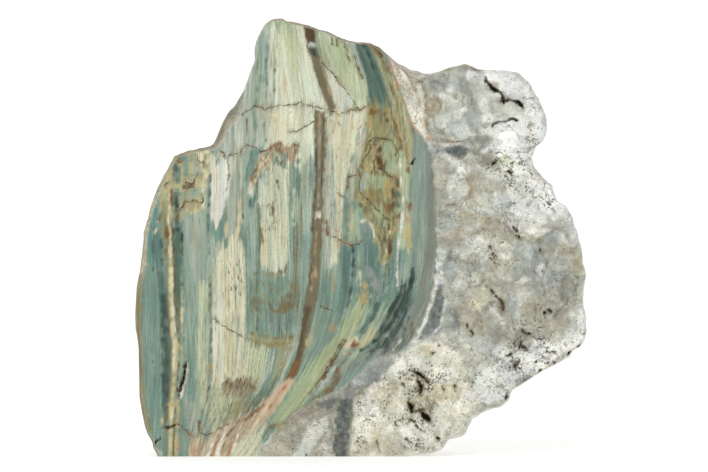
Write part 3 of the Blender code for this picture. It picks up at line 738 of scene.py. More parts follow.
# Seams, single fibres and shoots: colour, half width, points.
LINES = (
    ("tan", 1.8, ((318.6, 113), (318, 130), (317.6, 146, -0.8))),
    # Short brown stains that hang from the top edge, and the brown band's own fibres.
    ("brown", 0.6, ((330, 33), (331, 44, -0.4))), ("rust", 0.7, ((335, 36), (336, 46, -0.4))),
    ("rust", 1.0, ((370, 44), (376, 54), (384, 64))), ("brown", 0.6, ((374, 46), (382, 58))),
    ("tan", 0.8, ((319, 60), (324, 76), (329, 94))),
    ("dull stone", 0.7, ((318.6, 130), (318, 170), (317, 206))),
    ("tan", 0.6, ((315, 232), (313, 262), (310, 290))),
    ("dark taupe", 0.8, ((322.6, 118), (321.6, 150), (320.4, 190))),
    ("brown", 0.7, ((309, 262), (311, 270), (308, 276), (310, 284))),
    # The cream vein on the left, brown at its edges, and its side shoots.
    ("olive", 4.4, ((165, 204, -1), (166, 226), (167.6, 250), (169, 262), (169.8, 290, -0.6),
     (172.5, 330), (174.5, 345, 0.8), (173, 380, -0.8), (171, 410), (169.5, 430), (168.5, 458))),
    ("brown", 0.9, ((170.4, 190), (170.6, 214), (171.4, 236), (172.6, 262, -0.3), (173.6, 290),
     (176, 330, -0.3), (178.6, 345), (176.6, 380, -0.3), (174.4, 410), (172, 458))),
    ("brown olive", 1.3, ((162, 204), (163, 226), (164.6, 250), (165.4, 266, -0.4), (166, 290),
     (168.2, 330, -0.4), (169.4, 345), (168.4, 380, -0.5), (165.6, 430), (165, 458))),
    ("cream", 1.2, ((168, 206), (167.4, 222), (168.8, 240), (169.4, 262))),
    ("butter", 1.9, ((169, 262), (169.6, 290), (172, 330, 0.3), (174, 345, 0.7), (172.6, 380, -0.5),
     (170.5, 410), (169.5, 430, -0.4), (168.5, 458))),
    ("cream", 0.8, ((170.6, 268), (171, 300), (173.5, 330), (172, 372))),
    ("rust", 1.8, ((166, 226, -0.4), (166, 234), (167, 244, -0.8))),
    ("brown olive", 1.3, ((163, 208), (159, 216), (154, 232, -0.5))),
    ("vein", 1.4, ((160, 408, -0.5), (165, 404.5), (174, 404))),
    ("straw", 1.6, ((176.5, 344), (180, 348), (182, 358))),
    ("straw", 1.8, ((175, 398), (177, 410), (176, 424), (175, 458))),
    ("peach", 0.8, ((181, 286), (180.4, 330), (182, 336))),
    ("white", 1.9, ((184.5, 358, -0.8), (185.4, 370), (182.5, 382), (179, 396, -0.6))),
    ("peach", 1.0, ((156.4, 222, -0.4), (155.5, 229), (153, 234, -0.6))),
    ("olive", 1.0, ((162, 196), (161.5, 240))),
    ("straw", 1.0, ((146.5, 228), (145, 244), (143.4, 262), (141, 280))),
    ("moss", 3.6, ((138, 280), (137, 330), (138.6, 372), (141, 400), (146, 430))),
    ("light teal", 0.8, ((161.5, 346), (162.5, 360), (160.5, 384), (159.6, 412), (159.2, 428))),
    ("dark teal", 0.8, ((151.6, 240), (152.6, 270))), ("deep teal", 0.7, ((180.8, 234), (181, 255))),
    ("deep teal", 0.7, ((181, 271), (181.4, 290))),
    # The grey line and the lines beside it.
    ("dark teal", 1.2, ((209, 176, -0.4), (208, 196), (207, 215), (206.4, 240, -0.3), (208, 254, -0.8))),
    ("light teal", 0.9, ((205, 182), (204, 240))),
    ("pine", 1.0, ((208.4, 278), (208.6, 300), (210, 330), (209.4, 352))),
    ("olive", 2.4, ((209.5, 362, -1), (207.5, 370), (207.5, 377, -1))),
    ("dark taupe", 0.7, ((208.4, 386), (204, 402), (200, 418), (198, 424))),
    ("peach", 0.9, ((225, 222), (224.4, 238))),
    ("peach", 2.2, ((239, 200, -1), (238, 222), (235, 240, -1))),
    ("brown", 0.5, ((241, 202), (242, 218))),
    # The top hump.
    ("blue teal", 1.7, ((266.4, 36, -0.8), (266, 50), (265.5, 64), (266, 84, -0.8))),
    ("teal", 1.3, ((259, 76), (256, 94), (254, 108))),
    ("teal", 1.2, ((253, 112), (255, 130), (253, 146))), ("brown olive", 0.5, ((273, 70), (273.4, 96))),
    ("blue teal", 0.8, ((261.6, 112), (263, 128), (265, 144))),
    ("dark taupe", 0.5, ((245.4, 112), (245.4, 130))),
    ("dark teal", 4.4, ((254, 152, -2), (250, 163, -1.4), (245, 178, -2.4))),
    ("teal", 3.6, ((255, 152, -1), (251, 164), (245, 180, -1))),
    ("dark teal", 1.0, ((249.5, 200), (248, 208))),
    ("blue teal", 1.2, ((256, 184), (253, 200), (248, 216))),
    ("tan", 0.8, ((273.5, 186), (274, 200), (272, 214), (271.5, 224))),
    ("brown", 0.9, ((271.4, 203), (271.6, 215))), ("brown", 0.8, ((276, 181), (276.8, 189))),
    ("peach", 1.6, ((262, 236), (263, 262))),
    ("brown olive", 0.6, ((259, 228), (260.4, 236), (262, 244))),
    # Streaks and arcs left of the brown band.
    ("pale sage", 0.8, ((293, 190), (292, 225))),
    ("blue teal", 0.9, ((297, 160), (295.6, 182), (298, 196))),
    ("brown olive", 0.9, ((252, 274), (262, 272.6), (280, 272.4))),
    ("brown olive", 1.0, ((267, 302), (270, 309), (276, 312), (284, 309), (289, 300), (291, 284))),
    ("pine", 0.8, ((256, 278), (256, 334))),
    ("brown olive", 0.7, ((250, 333), (263.5, 336.5), (281, 338), (294, 335.6))),
    ("moss", 1.1, ((244, 339), (256, 342), (270, 344.5), (287, 343))),
    # Round the bog stain.
    ("brown olive", 0.7, ((305.6, 46), (311.6, 62), (317.6, 81), (323.6, 99), (328, 109))),
    ("brown olive", 0.8, ((324.4, 112), (324.6, 140), (323, 170), (322, 200), (320.6, 250))),
    ("dark taupe", 1.0, ((313.5, 130), (315, 170), (313, 200), (311, 230))),
    ("dark taupe", 0.9, ((391.6, 190), (391.4, 210))),
    ("rust", 0.8, ((392, 118), (398, 138), (402, 150))), ("rust", 1.2, ((406, 158), (406.6, 172))),
    ("brown olive", 0.9, ((366, 130), (368, 140), (364, 152))),
    ("tan", 1.0, ((379, 142), (372, 152), (364, 160))),
    ("brown olive", 0.7, ((383, 60), (388, 78), (394, 100))),
    ("straw", 0.7, ((350, 205), (351, 224), (350.6, 240))),
    ("blue teal", 0.8, ((346, 200), (345.6, 238))), ("rust", 1.2, ((325.4, 222), (326.2, 234))),
    ("terracotta", 1.0, ((335, 230), (337, 248))), ("tan", 1.2, ((331, 274), (332, 290))),
    ("tan", 1.0, ((333, 238), (341, 242), (350, 245.5), (357, 244), (361, 239))),
    ("cream", 0.8, ((360.5, 221), (365, 219.6), (369, 222), (371, 228), (373, 236))),
    ("white", 0.9, ((398.5, 160), (399.6, 180), (401.6, 196), (402.4, 206), (400.6, 222, 0.4),
     (399.4, 234), (397, 246), (396, 262), (396.8, 285))),
    ("dark taupe", 0.5, ((398, 250), (397.6, 266), (398, 286))),
    ("cream", 0.7, ((388, 232), (384, 246), (386, 256))), ("cream", 0.9, ((358.6, 272), (359.4, 284))),
    # The seams of the lower right.
    ("moss", 0.8, ((341.5, 339), (331, 358), (320, 378))),
    ("rust", 0.8, ((344.5, 341), (334, 359), (322, 379))), ("light teal", 0.9, ((345, 308), (341, 320))),
    ("brown olive", 2.2, ((268, 428), (280, 424), (296, 412), (306, 405), (318, 396), (326, 390),
     (338, 380, -0.8))),
    ("taupe", 1.4, ((411, 322), (411, 336), (406, 350))), ("white", 0.6, ((400, 340), (392, 349))),
    # The darkest fibres, beside the grey stone and in the left lobe.
    ("deep teal", 2.2, ((412, 268, -1), (409, 286), (402, 302), (394, 316), (384, 330), (372, 343, -1))),
    ("night teal", 3.4, ((408, 290, -1), (402, 310), (398, 326), (390, 338), (376, 346, -1))),
    ("deep teal", 1.4, ((404, 284), (394, 302), (386, 318), (376, 334))),
    ("dark slate", 1.3, ((408, 318), (400, 334), (386, 346), (366, 352))),
    ("deep teal", 1.2, ((396, 310), (388, 326), (376, 340), (360, 350))),
    ("dark teal", 2.0, ((362, 42), (370, 56), (376, 72), (382, 92))),
    ("deep teal", 1.0, ((359, 40), (366, 52), (372, 68))),
    ("night teal", 3.4, ((162, 296, -1), (163.5, 330), (164, 372), (163, 408, -1))),
    ("dark teal", 1.4, ((160, 240), (161, 262), (162, 290))),
    ("deep teal", 0.8, ((176, 196), (177, 230))),
    ("dark teal", 2.4, ((378, 300), (372, 316), (360, 332))),
    ("deep teal", 1.0, ((352, 246), (352, 270), (349, 296))),
    # The fan.
    ("orange", 1.3, ((196, 458), (200, 438))), ("white", 1.0, ((206, 458), (214, 436), (218, 430))),
    ("orange", 1.5, ((210, 458), (218, 436))), ("white", 1.9, ((215, 458), (219, 444), (225, 428, -0.4))),
    ("rust", 1.0, ((220, 452), (227, 434), (238, 420))),
    ("orange", 1.5, ((226, 456), (234, 438), (246, 420))),
    ("white", 0.9, ((230, 456), (236, 438), (240, 424))),
    ("rust", 1.4, ((244, 420), (252, 414), (262, 405))),
    ("peach", 1.2, ((246, 438), (258, 418), (272, 400))),
    ("orange", 0.9, ((284, 386), (276, 396), (268, 408))), ("rust", 0.9, ((198, 422), (197, 437))),
    ("terracotta", 3.0, ((190, 436), (194, 458))),
    # The lowest strip of the left lobe.
    ("light teal", 1.8, ((182, 434), (184, 458))), ("teal", 2.4, ((163, 434), (163, 458))),
    ("terracotta", 1.0, ((178.6, 426), (176.6, 450))), ("pale grey", 3.0, ((152, 450), (159, 452))),
    ("straw", 1.0, ((160.4, 414), (161, 424))),
)
for colour, half_width, marks in LINES:
    mark = stroke(half_width, marks, blur=1.8, rough=0.9, fray=0.8)
    stain(mark * np.clip(0.8 + 0.45 * ragged, 0.0, 1.0), colour)


def given_over(amounts, areas, blur, rough, within=1.0):
    """The amounts of all points, where those inside each area go over to its own amount."""
    for amount, marks in areas:
        area = patch(marks, blur=blur, rough=rough) * within
        amounts = amounts * (1.0 - area) + amount * area
    return amounts


# Where dark dashes lie along the fibres: how many, and the corners of the area.
dashes = given_over(np.full(point_count, 0.3), (
    (1.6, ((221, 378), (252, 376), (256, 392), (240, 400), (222, 396))),
    (1.0, ((222, 262), (246, 250), (244, 296), (222, 296))),
    (1.1, ((262, 200), (278, 200), (276, 230), (262, 230))),
    (0.9, ((270, 142), (296, 142), (296, 172), (270, 172))),
    (0.8, ((282, 176), (304, 176), (304, 196), (282, 196))),
    (0.8, ((324, 176), (350, 180), (348, 240), (325, 240))),
    (0.8, ((246, 296), (292, 295), (292, 350), (246, 350))),
    (0.8, ((378, 46), (396, 60), (410, 160), (390, 160))),
    (0.8, ((324, 30), (346, 38), (350, 60), (324, 44))),
    (0.8, ((143, 340), (157, 340), (157, 382), (143, 382))),
    (0.9, ((208, 390), (262, 390), (250, 430), (200, 450))),
    (0.1, ((266, 110), (312, 106), (312, 140), (268, 140))),
), blur=8.0, rough=3.0)
brushed = patch(((221, 376), (240, 378), (256, 378), (256, 388), (244, 398), (224, 396)),
                blur=4.0, rough=2.0, fray=6.0)
stain(brushed * 0.75, "tan", "brown", 0.9)

# THE GREY STONE
# Broken chalcedony, grown on to the wood in grey lobes with white seams; it took a polish too.
STONE_EDGE = (
    (385, 50), (394, 76), (401, 96), (407, 112), (413, 126), (420, 135), (426, 142), (431, 158),
    (435, 200), (436, 262), (431, 290), (425, 312), (414, 336), (402, 349), (378, 357), (350, 380),
    (334, 393), (316, 399), (296, 411), (276, 427), (262, 445), (255, 470), (620, 470), (620, 30),
    (388, 30),
)
bent_x = spot_x + 2.2 * lumpy(44, 11.0, 10.0) + 1.4 * lumpy(46, 4.0, 3.6)
bent_y = spot_y + 2.2 * lumpy(45, 10.0, 11.0) + 1.4 * lumpy(47, 3.6, 4.0)
stone_mask = patch(STONE_EDGE, blur=2.5, rough=1.4)
stain(stone_mask, "stone grey", "light stone", 0.6)


def cloud(seed, sizes=((15.0, 1.0), (7.0, 0.8), (3.4, 0.6), (1.8, 0.35))):
    """Marbled lumps of the grey stone: the sum of smooth lumps of four sizes, each times its
    share, bent by the stone's own lobes."""
    return sum(share * wave(bent_x, bent_y, deep, (size, 0.9 * size, LAYER), seed + n)
               for n, (size, share) in enumerate(sizes))


def blob(x, y, half_width, half_height, tilt=0.0):
    """Mask of an uneven oval, its edge bent by the lobes of the stone: how far a place lies
    within it is one less its distance from the middle, counted in half sizes."""
    turn = math.radians(tilt)
    over = bent_x - x
    down = bent_y - y
    across = (over * math.cos(turn) + down * math.sin(turn)) / half_width
    along = (down * math.cos(turn) - over * math.sin(turn)) / half_height
    inward = (1.0 - np.hypot(across, along)) * min(half_width, half_height)
    return soft(inward + 0.7 * ragged, 3.0)


# All of it is marbled: paler and duller lumps, warm and cool ones, and thin dark edges between.
for colour, strength, seed, start in (
        ("white stone", 0.50, 50, 0.55), ("dull stone", 0.42, 60, 0.70), ("tan", 0.22, 70, 0.80),
        ("cool grey", 0.36, 80, 0.70), ("warm grey", 0.30, 90, 0.60)):
    stain(strength * stone_mask * soft(cloud(seed) - start, 0.7), colour)
for seed, strength in ((100, 0.32), (110, 0.22)):
    lumps = cloud(seed)
    thin = stone_mask * soft(0.06 - np.abs(lumps), 0.10) * soft(cloud(seed + 5) - 0.1, 0.6)
    stain(strength * thin, "dark taupe")

# Broad differences first, then the lobes, fillings and broken bits: colour, strength, and for
# each oval its middle, half sizes and tilt in degrees.
STONE_BLOBS = (
    # The knob at the top right.
    ("light stone", 0.9, ((484, 104, 52, 40), (530, 120, 24, 30))),
    ("white stone", 0.95, ((512, 80, 30, 15, 8), (538, 104, 16, 34, -8), (520, 132, 30, 16),
     (498, 147, 12, 5))),
    ("stone grey", 0.8, ((438, 86, 12, 9), (452, 78, 8, 14), (466, 92, 9, 16), (474, 122, 10, 14),
     (492, 108, 10, 7), (478, 140, 14, 7))),
    ("dull stone", 0.85, ((471, 108, 4.5, 9), (480, 139, 8, 4), (490, 86, 7, 5, 30), (463, 88, 4, 8),
     (500, 100, 5, 4))),
    ("cool grey", 0.7, ((444, 82, 14, 12), (448, 122, 18, 16), (474, 118, 8, 14))),
    ("light stone", 0.8, ((457, 106, 8, 12, 8), (442, 121, 9, 8, -30), (456, 131, 17, 6, 8),
     (451, 84, 5, 6))),
    ("white stone", 0.7, ((448, 90, 4, 3), (440, 96, 3, 3), (466, 76, 6, 5), (484, 106, 5, 8),
     (486, 119, 6, 4), (445, 122, 4, 4))),
    ("tan", 0.55, ((482, 153, 10, 4),)),
    # The broad side below it.
    ("light stone", 0.8, ((455, 168, 8, 5), (530, 195, 28, 13, 20), (482, 205, 22, 9), (498, 172, 22, 7),
     (562, 240, 10, 9), (476, 250, 9, 6), (509, 244, 10, 5), (575, 215, 14, 18), (524, 306, 10, 16),
     (478, 346, 14, 8), (470, 282, 8, 10), (568, 232, 12, 14), (576, 304, 8, 20))),
    ("white stone", 0.95, ((526, 165, 32, 12, 20), (546, 190, 16, 22, -25), (556, 207, 12, 12),
     (516, 206, 16, 8, 10), (532, 216, 14, 7, 15), (508, 366, 12, 8), (434, 266, 6, 5))),
    ("warm grey", 0.8, ((440, 165, 7, 7), (439, 184, 6, 14), (471, 188, 6, 16), (466, 219, 11, 6),
     (452, 236, 14, 7), (490, 226, 12, 14), (507, 234, 10, 6, 30), (492, 266, 9, 9), (572, 262, 11, 10),
     (572, 292, 9, 16), (555, 226, 12, 6), (464, 316, 8, 16), (477, 322, 8, 12), (490, 330, 12, 16),
     (540, 305, 14, 16), (545, 328, 14, 9), (562, 318, 8, 10), (500, 287, 12, 8))),
    ("cool grey", 0.85, ((448, 322, 6, 11), (447, 222, 11, 9), (447, 276, 7, 10), (436, 150, 8, 6),
     (530, 262, 11, 15, 25), (521, 272, 12, 9), (519, 251, 7, 7), (548, 238, 13, 6, -20),
     (552, 272, 13, 16), (568, 284, 8, 11), (494, 334, 5, 12), (512, 302, 4, 16), (536, 284, 7, 14))),
    ("dull stone", 0.85, ((453, 241, 10, 7), (449, 172, 6, 4), (562, 291, 6, 12), (504, 189, 4, 4),
     (506, 205, 3.5, 4), (489, 164, 11, 5, 20), (559, 230, 9, 4, 30), (503, 307, 8, 9),
     (558, 312, 12, 5, -40), (567, 282, 6, 9), (521, 335, 8, 7), (500, 336, 8, 6), (443, 243, 8, 5))),
    ("light stone", 0.95, ((457, 187, 11, 13, 10),)),
    ("pale blue", 0.7, ((451, 268, 4, 11, 25), (507, 200, 14, 4), (532, 209, 16, 6, 15), (527, 252, 5, 7),
     (512, 298, 3, 9))),
    ("white stone", 0.75, ((462, 171, 6, 4), (530, 230, 5, 3), (540, 272, 4, 6), (505, 256, 6, 4),
     (520, 281, 5, 3), (476, 240, 6, 4))),
    ("slate", 0.85, ((447, 254, 3, 5), (455, 322, 3, 8))),
    ("tan", 0.55, ((470, 180, 4, 6), (466, 216, 8, 4), (504, 241, 6, 3), (567, 250, 10, 6),
     (486, 222, 5, 8), (528, 312, 9, 9), (578, 266, 5, 9))),
    ("tan", 0.45, ((543, 250, 7, 6), (473, 236, 5, 4))),
    # The edge toward the rind and the lower right, nearly white.
    ("white stone", 0.85, ((573, 342, 13, 12), (530, 361, 36, 12, -25), (492, 385, 26, 16, -30),
     (583, 326, 6, 24), (505, 352, 12, 7), (540, 344, 9, 6))),
    ("light stone", 0.7, ((520, 352, 14, 6), (484, 372, 9, 9), (508, 368, 9, 6))),
)
for colour, strength, ovals in STONE_BLOBS:
    for oval in ovals:
        stain(0.9 * strength * stone_mask * blob(*oval), colour)
bleached = patch(((502, 152), (560, 186), (600, 240), (556, 240), (530, 230), (506, 224)),
                 blur=12.0, rough=4.0)
stain(0.34 * stone_mask * bleached, "white stone")
# Areas as colour, corners: the cream edge of the log, slate wedges, the foot below the wood.
STONE_AREAS = (
    ("milk", ((384, 48), (400, 56), (413, 75), (420, 84), (424, 104), (424, 118), (425, 130), (431, 138),
     (424, 142), (414, 130), (407, 114), (402, 98), (396, 82), (390, 66))),
    ("tan", ((410, 75), (418, 74), (421, 83), (414, 85))),
    ("tan", ((423, 96), (438, 97), (440, 106), (436, 113), (425, 119))),
    ("warm grey", ((425, 100), (434, 100), (438, 107), (430, 114))),
    ("dull stone", ((421, 117), (428, 116), (431, 130), (427, 134), (422, 128))),
    ("salmon", ((423, 134), (431, 134), (432, 140), (425, 141))),
    ("cream", ((470, 288), (482, 286), (490, 293), (488, 300), (480, 307), (474, 311), (468, 308),
     (470, 298))),
    ("slate", ((436, 284), (441, 284), (443, 302), (440, 320), (438, 332), (430, 338), (416, 340),
     (421, 328), (427, 315), (431, 303))),
    ("mauve", ((342, 396), (346, 384), (352, 372), (366, 358), (380, 352), (392, 362), (380, 382),
     (362, 392), (350, 400))),
    ("dull stone", ((262, 448), (276, 428), (296, 411), (316, 400), (338, 394), (342, 410), (330, 430),
     (318, 446), (300, 460), (256, 464))),
    ("slate", ((316, 404), (338, 395), (340, 402), (326, 408))),
    ("light stone", ((312, 420), (327, 415), (328, 430), (318, 438), (306, 460), (288, 460), (300, 440))),
    ("warm grey", ((258, 446), (280, 440), (290, 452), (286, 462), (254, 462))),
    ("dark slate", ((445, 148), (456, 145.5), (465, 148), (466, 154), (460, 158), (450, 157),
     (444, 153))),
    ("olive", ((268, 420), (288, 418), (286, 427), (270, 431))),
    ("dark slate", ((338, 402), (352, 396), (353, 412), (349, 432), (346, 460), (334, 460), (330, 442),
     (332, 424), (336, 412))),
    ("slate", ((378, 346), (396, 340), (409, 334), (408, 345), (396, 353), (378, 357))),
)
for colour, marks in STONE_AREAS:
    stain(0.9 * stone_mask * patch(marks, blur=3.0, rough=1.5), colour)
# Seams and grey edges of the lobes: colour, strength, half width, points.
STONE_LINES = (
    ("cool grey", 0.95, 3.4, ((461, 62), (462, 78), (463, 90), (468, 96), (471, 103), (468, 110),
     (466, 116), (469, 124), (474, 131), (477, 140))),
    ("dull stone", 0.6, 1.0, ((441, 97), (445, 104), (444, 114), (450, 122), (460, 122), (464, 112),
     (461, 101), (452, 96))),
    ("dull stone", 0.5, 0.9, ((432, 118), (434, 130), (442, 134), (447, 128), (444, 117))),
    ("dark slate", 0.7, 3.2, ((422, 318, -1), (415, 330), (406, 343, -1))),
    ("green sage", 0.6, 4.0, ((499, 163), (505, 158), (511, 161))),
    ("dark taupe", 0.6, 0.7, ((446, 205), (458, 204), (468, 199), (470, 186), (464, 174), (452, 172))),
    ("dark taupe", 0.6, 0.8, ((502, 222), (512, 234), (520, 240), (534, 243), (540, 236), (552, 232))),
    ("dark taupe", 0.6, 0.8, ((546, 262), (540, 282), (546, 300), (558, 304))),
    ("dark taupe", 0.6, 0.7, ((486, 262), (494, 276), (506, 284), (517, 279), (527, 268))),
    ("dark taupe", 0.5, 0.7, ((444, 262), (456, 258), (466, 264), (470, 280), (462, 296), (452, 300))),
    ("dark taupe", 0.5, 0.7, ((478, 206), (490, 208), (502, 216), (512, 214), (528, 222))),
    ("brown olive", 0.6, 0.7, ((441, 95), (440, 106), (436, 114), (424, 120), (425, 130))),
    ("cool grey", 0.7, 1.0, ((528, 104), (529, 110), (525, 115), (529, 118), (530, 124), (526, 130))),
    ("cool grey", 0.6, 0.8, ((542, 112), (541, 122), (545, 128))),
    ("dark taupe", 0.7, 1.0, ((528, 156), (532, 150), (537, 144), (541, 141))),
    ("slate", 0.8, 0.9, ((441, 139), (450, 142), (457, 141.5), (468, 141))),
    ("slate", 0.6, 1.4, ((468, 136), (470, 142), (478, 152))),
    ("white stone", 0.8, 1.6, ((480, 152), (488, 148), (494, 141), (503, 146))),
    ("dull stone", 0.7, 1.0, ((446, 176), (443, 188), (447, 200), (456, 203), (465, 198))),
    ("dark taupe", 0.6, 0.8, ((432, 212), (445, 211), (455, 214), (460, 218))),
    ("dull stone", 0.7, 1.4, ((533, 188), (532, 198), (527, 205))),
    ("cool grey", 0.8, 2.2, ((538, 244), (536, 254), (532, 264), (526, 270), (517, 279))),
    ("cool grey", 0.7, 1.8, ((540, 240), (552, 236), (556, 244), (552, 250))),
    ("dull stone", 0.7, 1.8, ((542, 226), (556, 228), (565, 233), (568, 242))),
    ("slate", 0.6, 1.2, ((561, 300), (561, 280), (568, 272), (578, 279), (573, 292), (562, 306),
     (550, 319))),
    ("dull stone", 0.7, 1.6, ((512, 296), (510, 284), (517, 278))),
    ("dark taupe", 0.5, 0.9, ((533, 296), (534, 310), (533, 318))),
    ("cool grey", 0.7, 1.8, ((544, 296), (544, 312), (543, 330))),
    ("tan", 0.6, 1.3, ((500, 222), (508, 230), (516, 238), (534, 239), (541, 240))),
    ("tan", 0.6, 1.4, ((496, 240), (504, 252), (510, 258))),
    ("tan", 0.5, 1.4, ((466, 178), (472, 186), (470, 196), (475, 206))),
    ("white stone", 0.85, 1.4, ((441, 273), (437, 281), (433, 292), (431, 302), (427, 310), (425, 319),
     (421, 326), (415, 335))),
    ("white stone", 0.7, 0.9, ((444, 300), (442, 312), (439, 326), (434, 332), (428, 338))),
    ("dark taupe", 0.7, 0.6, ((468, 287), (478, 286), (482, 280), (488, 279))),
    ("brown", 0.8, 0.9, ((489, 288), (494, 295), (499, 300, 1.4), (501, 306, 1.6), (503, 311))),
    ("tan", 0.6, 1.6, ((470, 332), (474, 322), (482, 312), (490, 302), (497, 299))),
    ("dark taupe", 0.6, 0.6, ((470, 308), (474, 308), (476, 312))),
    ("dark taupe", 0.6, 0.6, ((440, 345), (450, 347), (460, 348), (471, 350), (470, 336))),
    ("pale blue", 0.6, 2.4, ((352, 382), (360, 382))),
    ("tan", 0.8, 1.6, ((368, 385), (360, 392), (354, 398), (352, 410), (350, 430), (348, 457))),
    ("mist", 0.6, 1.0, ((330, 446), (334, 430), (331, 418))),
)
worn_thin = np.clip(0.8 + 0.4 * ragged, 0.0, 1.0)
for colour, strength, half_width, marks in STONE_LINES:
    stain(strength * stone_mask * worn_thin * stroke(half_width, marks, blur=1.8, rough=0.9), colour)
# A cream skin of opal lies between wood and stone, orange where it meets the wood.
for colour, strength, half_width, marks in (
    ("white", 0.9, 3.2, ((398, 66), (404, 78), (411, 96), (417, 116, -1), (422, 130, -2))),
    ("butter", 0.6, 1.2, ((408, 78), (414, 96), (419, 112), (423, 126))),
    ("orange", 0.8, 0.9, ((387, 58), (394, 78), (401, 98), (407, 114), (412, 127), (420, 135))),
    ("terracotta", 0.7, 1.2, ((372, 44), (382, 50), (391, 60), (398, 72))),
    ("brown olive", 0.7, 1.0, ((412, 77), (420, 82), (424, 94), (425, 106), (424, 118), (427, 132))),
    ("tan", 0.5, 1.4, ((428, 98), (434, 104), (430, 112))),
    ("salmon", 0.7, 0.9, ((402, 80), (409, 94), (413, 108), (419, 120), (424, 132))),
    ("tan", 0.7, 0.8, ((396, 62), (405, 72), (412, 86), (417, 98), (421, 114))),
    ("tan", 0.6, 1.0, ((409, 66), (424, 73), (438, 74))),
    ("brown olive", 0.6, 0.6, ((414, 88), (419, 104), (418, 116))),
    ("peach", 0.6, 1.6, ((392, 62), (398, 78), (404, 94), (409, 108))),
    ("dark slate", 0.9, 3.6, ((449, 152, -1), (457, 151.5), (462, 153, -1.4))),
    ("slate", 0.7, 1.2, ((437, 151), (445, 149), (466, 150), (474, 154))),
):
    stain(strength * worn_thin * stroke(half_width, marks, blur=1.6, rough=0.9), colour)

# THE WHITE RIND
# Chalky opal that lined the outside of the log: soft, full of pores, dull after the polish.
RIND_EDGE = (
    (352, 400), (353, 414), (350, 436), (348, 470), (452, 470), (470, 436), (480, 416), (470, 392),
    (458, 352), (440, 343), (420, 345), (405, 351), (392, 366), (370, 386),
)
rind_mask = patch(RIND_EDGE, blur=2.5, rough=1.5)
stain(rind_mask, "rind", "chalk", 0.5)
for colour, strength, ovals in (
    ("chalk", 0.9, ((368, 412, 10, 16), (414, 434, 26, 12), (448, 424, 14, 12), (455, 398, 14, 10),
                    (408, 362, 14, 8), (372, 394, 8, 6), (440, 376, 10, 8))),
    ("dirty rind", 0.5, ((384, 446, 16, 12), (388, 406, 10, 12), (420, 398, 22, 16),
                         (396, 388, 12, 6), (362, 446, 8, 10), (452, 362, 8, 6))),
    ("stone grey", 0.8, ((396, 444, 12, 10), (381, 408, 3, 7), (404, 448, 8, 5))),
    ("straw", 0.55, ((428, 351, 8, 7), (444, 394, 16, 9), (374, 438, 5, 11), (436, 432, 4, 4),
                     (382, 390, 3, 7, 15))),
    ("brown olive", 0.55, ((418, 375, 6, 4), (419, 387, 4, 8), (412, 408, 9, 6), (424, 416, 8, 6))),
    ("orange", 0.6, ((394, 388, 3.2, 3.2), (396, 448, 3, 2.5))),
    ("olive", 0.5, ((420, 404, 14, 10), (396, 432, 5, 3))),
):
    for oval in ovals:
        stain(strength * rind_mask * blob(*oval), colour)
for strength, seed, colour in ((0.45, 120, "white"), (0.45, 130, "dirty rind"), (0.25, 140, "olive")):
    stain(strength * rind_mask * soft(cloud(seed) - 0.55, 0.7), colour)

# Where dark pores show: everywhere in the rind, and in the weathered edge of the grey stone.
pores = given_over(0.26 * stone_mask, (
    (0.45, RIND_EDGE),
    (0.45, ((500, 326), (540, 320), (590, 318), (590, 350), (510, 400), (470, 420), (480, 360))),
    (0.75, ((486, 150), (530, 140), (560, 200), (540, 206), (500, 184))),
    (0.65, ((520, 96), (536, 98), (536, 142), (518, 140))),
    (0.0, ((432, 60), (530, 66), (522, 96), (500, 140), (436, 140))),
    (1.0, ((486, 156), (500, 156), (501, 168), (488, 168))),
    (1.0, ((503, 166), (514, 166), (516, 176), (504, 178))),
    (0.8, ((526, 168), (538, 168), (536, 178), (526, 178))),
    (0.8, ((500, 214), (516, 218), (522, 240), (510, 238))),
    (1.1, ((485, 244), (495, 244), (498, 262), (488, 260))),
    (0.9, ((538, 304), (554, 304), (554, 320), (540, 320))),
    (0.9, ((516, 324), (532, 324), (530, 340), (516, 340))),
    (0.9, ((500, 340), (528, 338), (524, 372), (504, 372))),
    (0.8, ((540, 338), (552, 338), (560, 366), (536, 368))),
    (0.9, ((392, 374), (412, 374), (412, 398), (394, 396))),
    (1.1, ((408, 368), (434, 368), (438, 400), (430, 430), (402, 424))),
    (0.8, ((430, 366), (480, 372), (476, 404), (432, 404))),
    (0.8, ((355, 412), (366, 412), (366, 446), (355, 446))),
    (0.8, ((404, 436), (424, 438), (424, 456), (408, 456))),
), blur=5.0, rough=2.0, within=stone_mask)

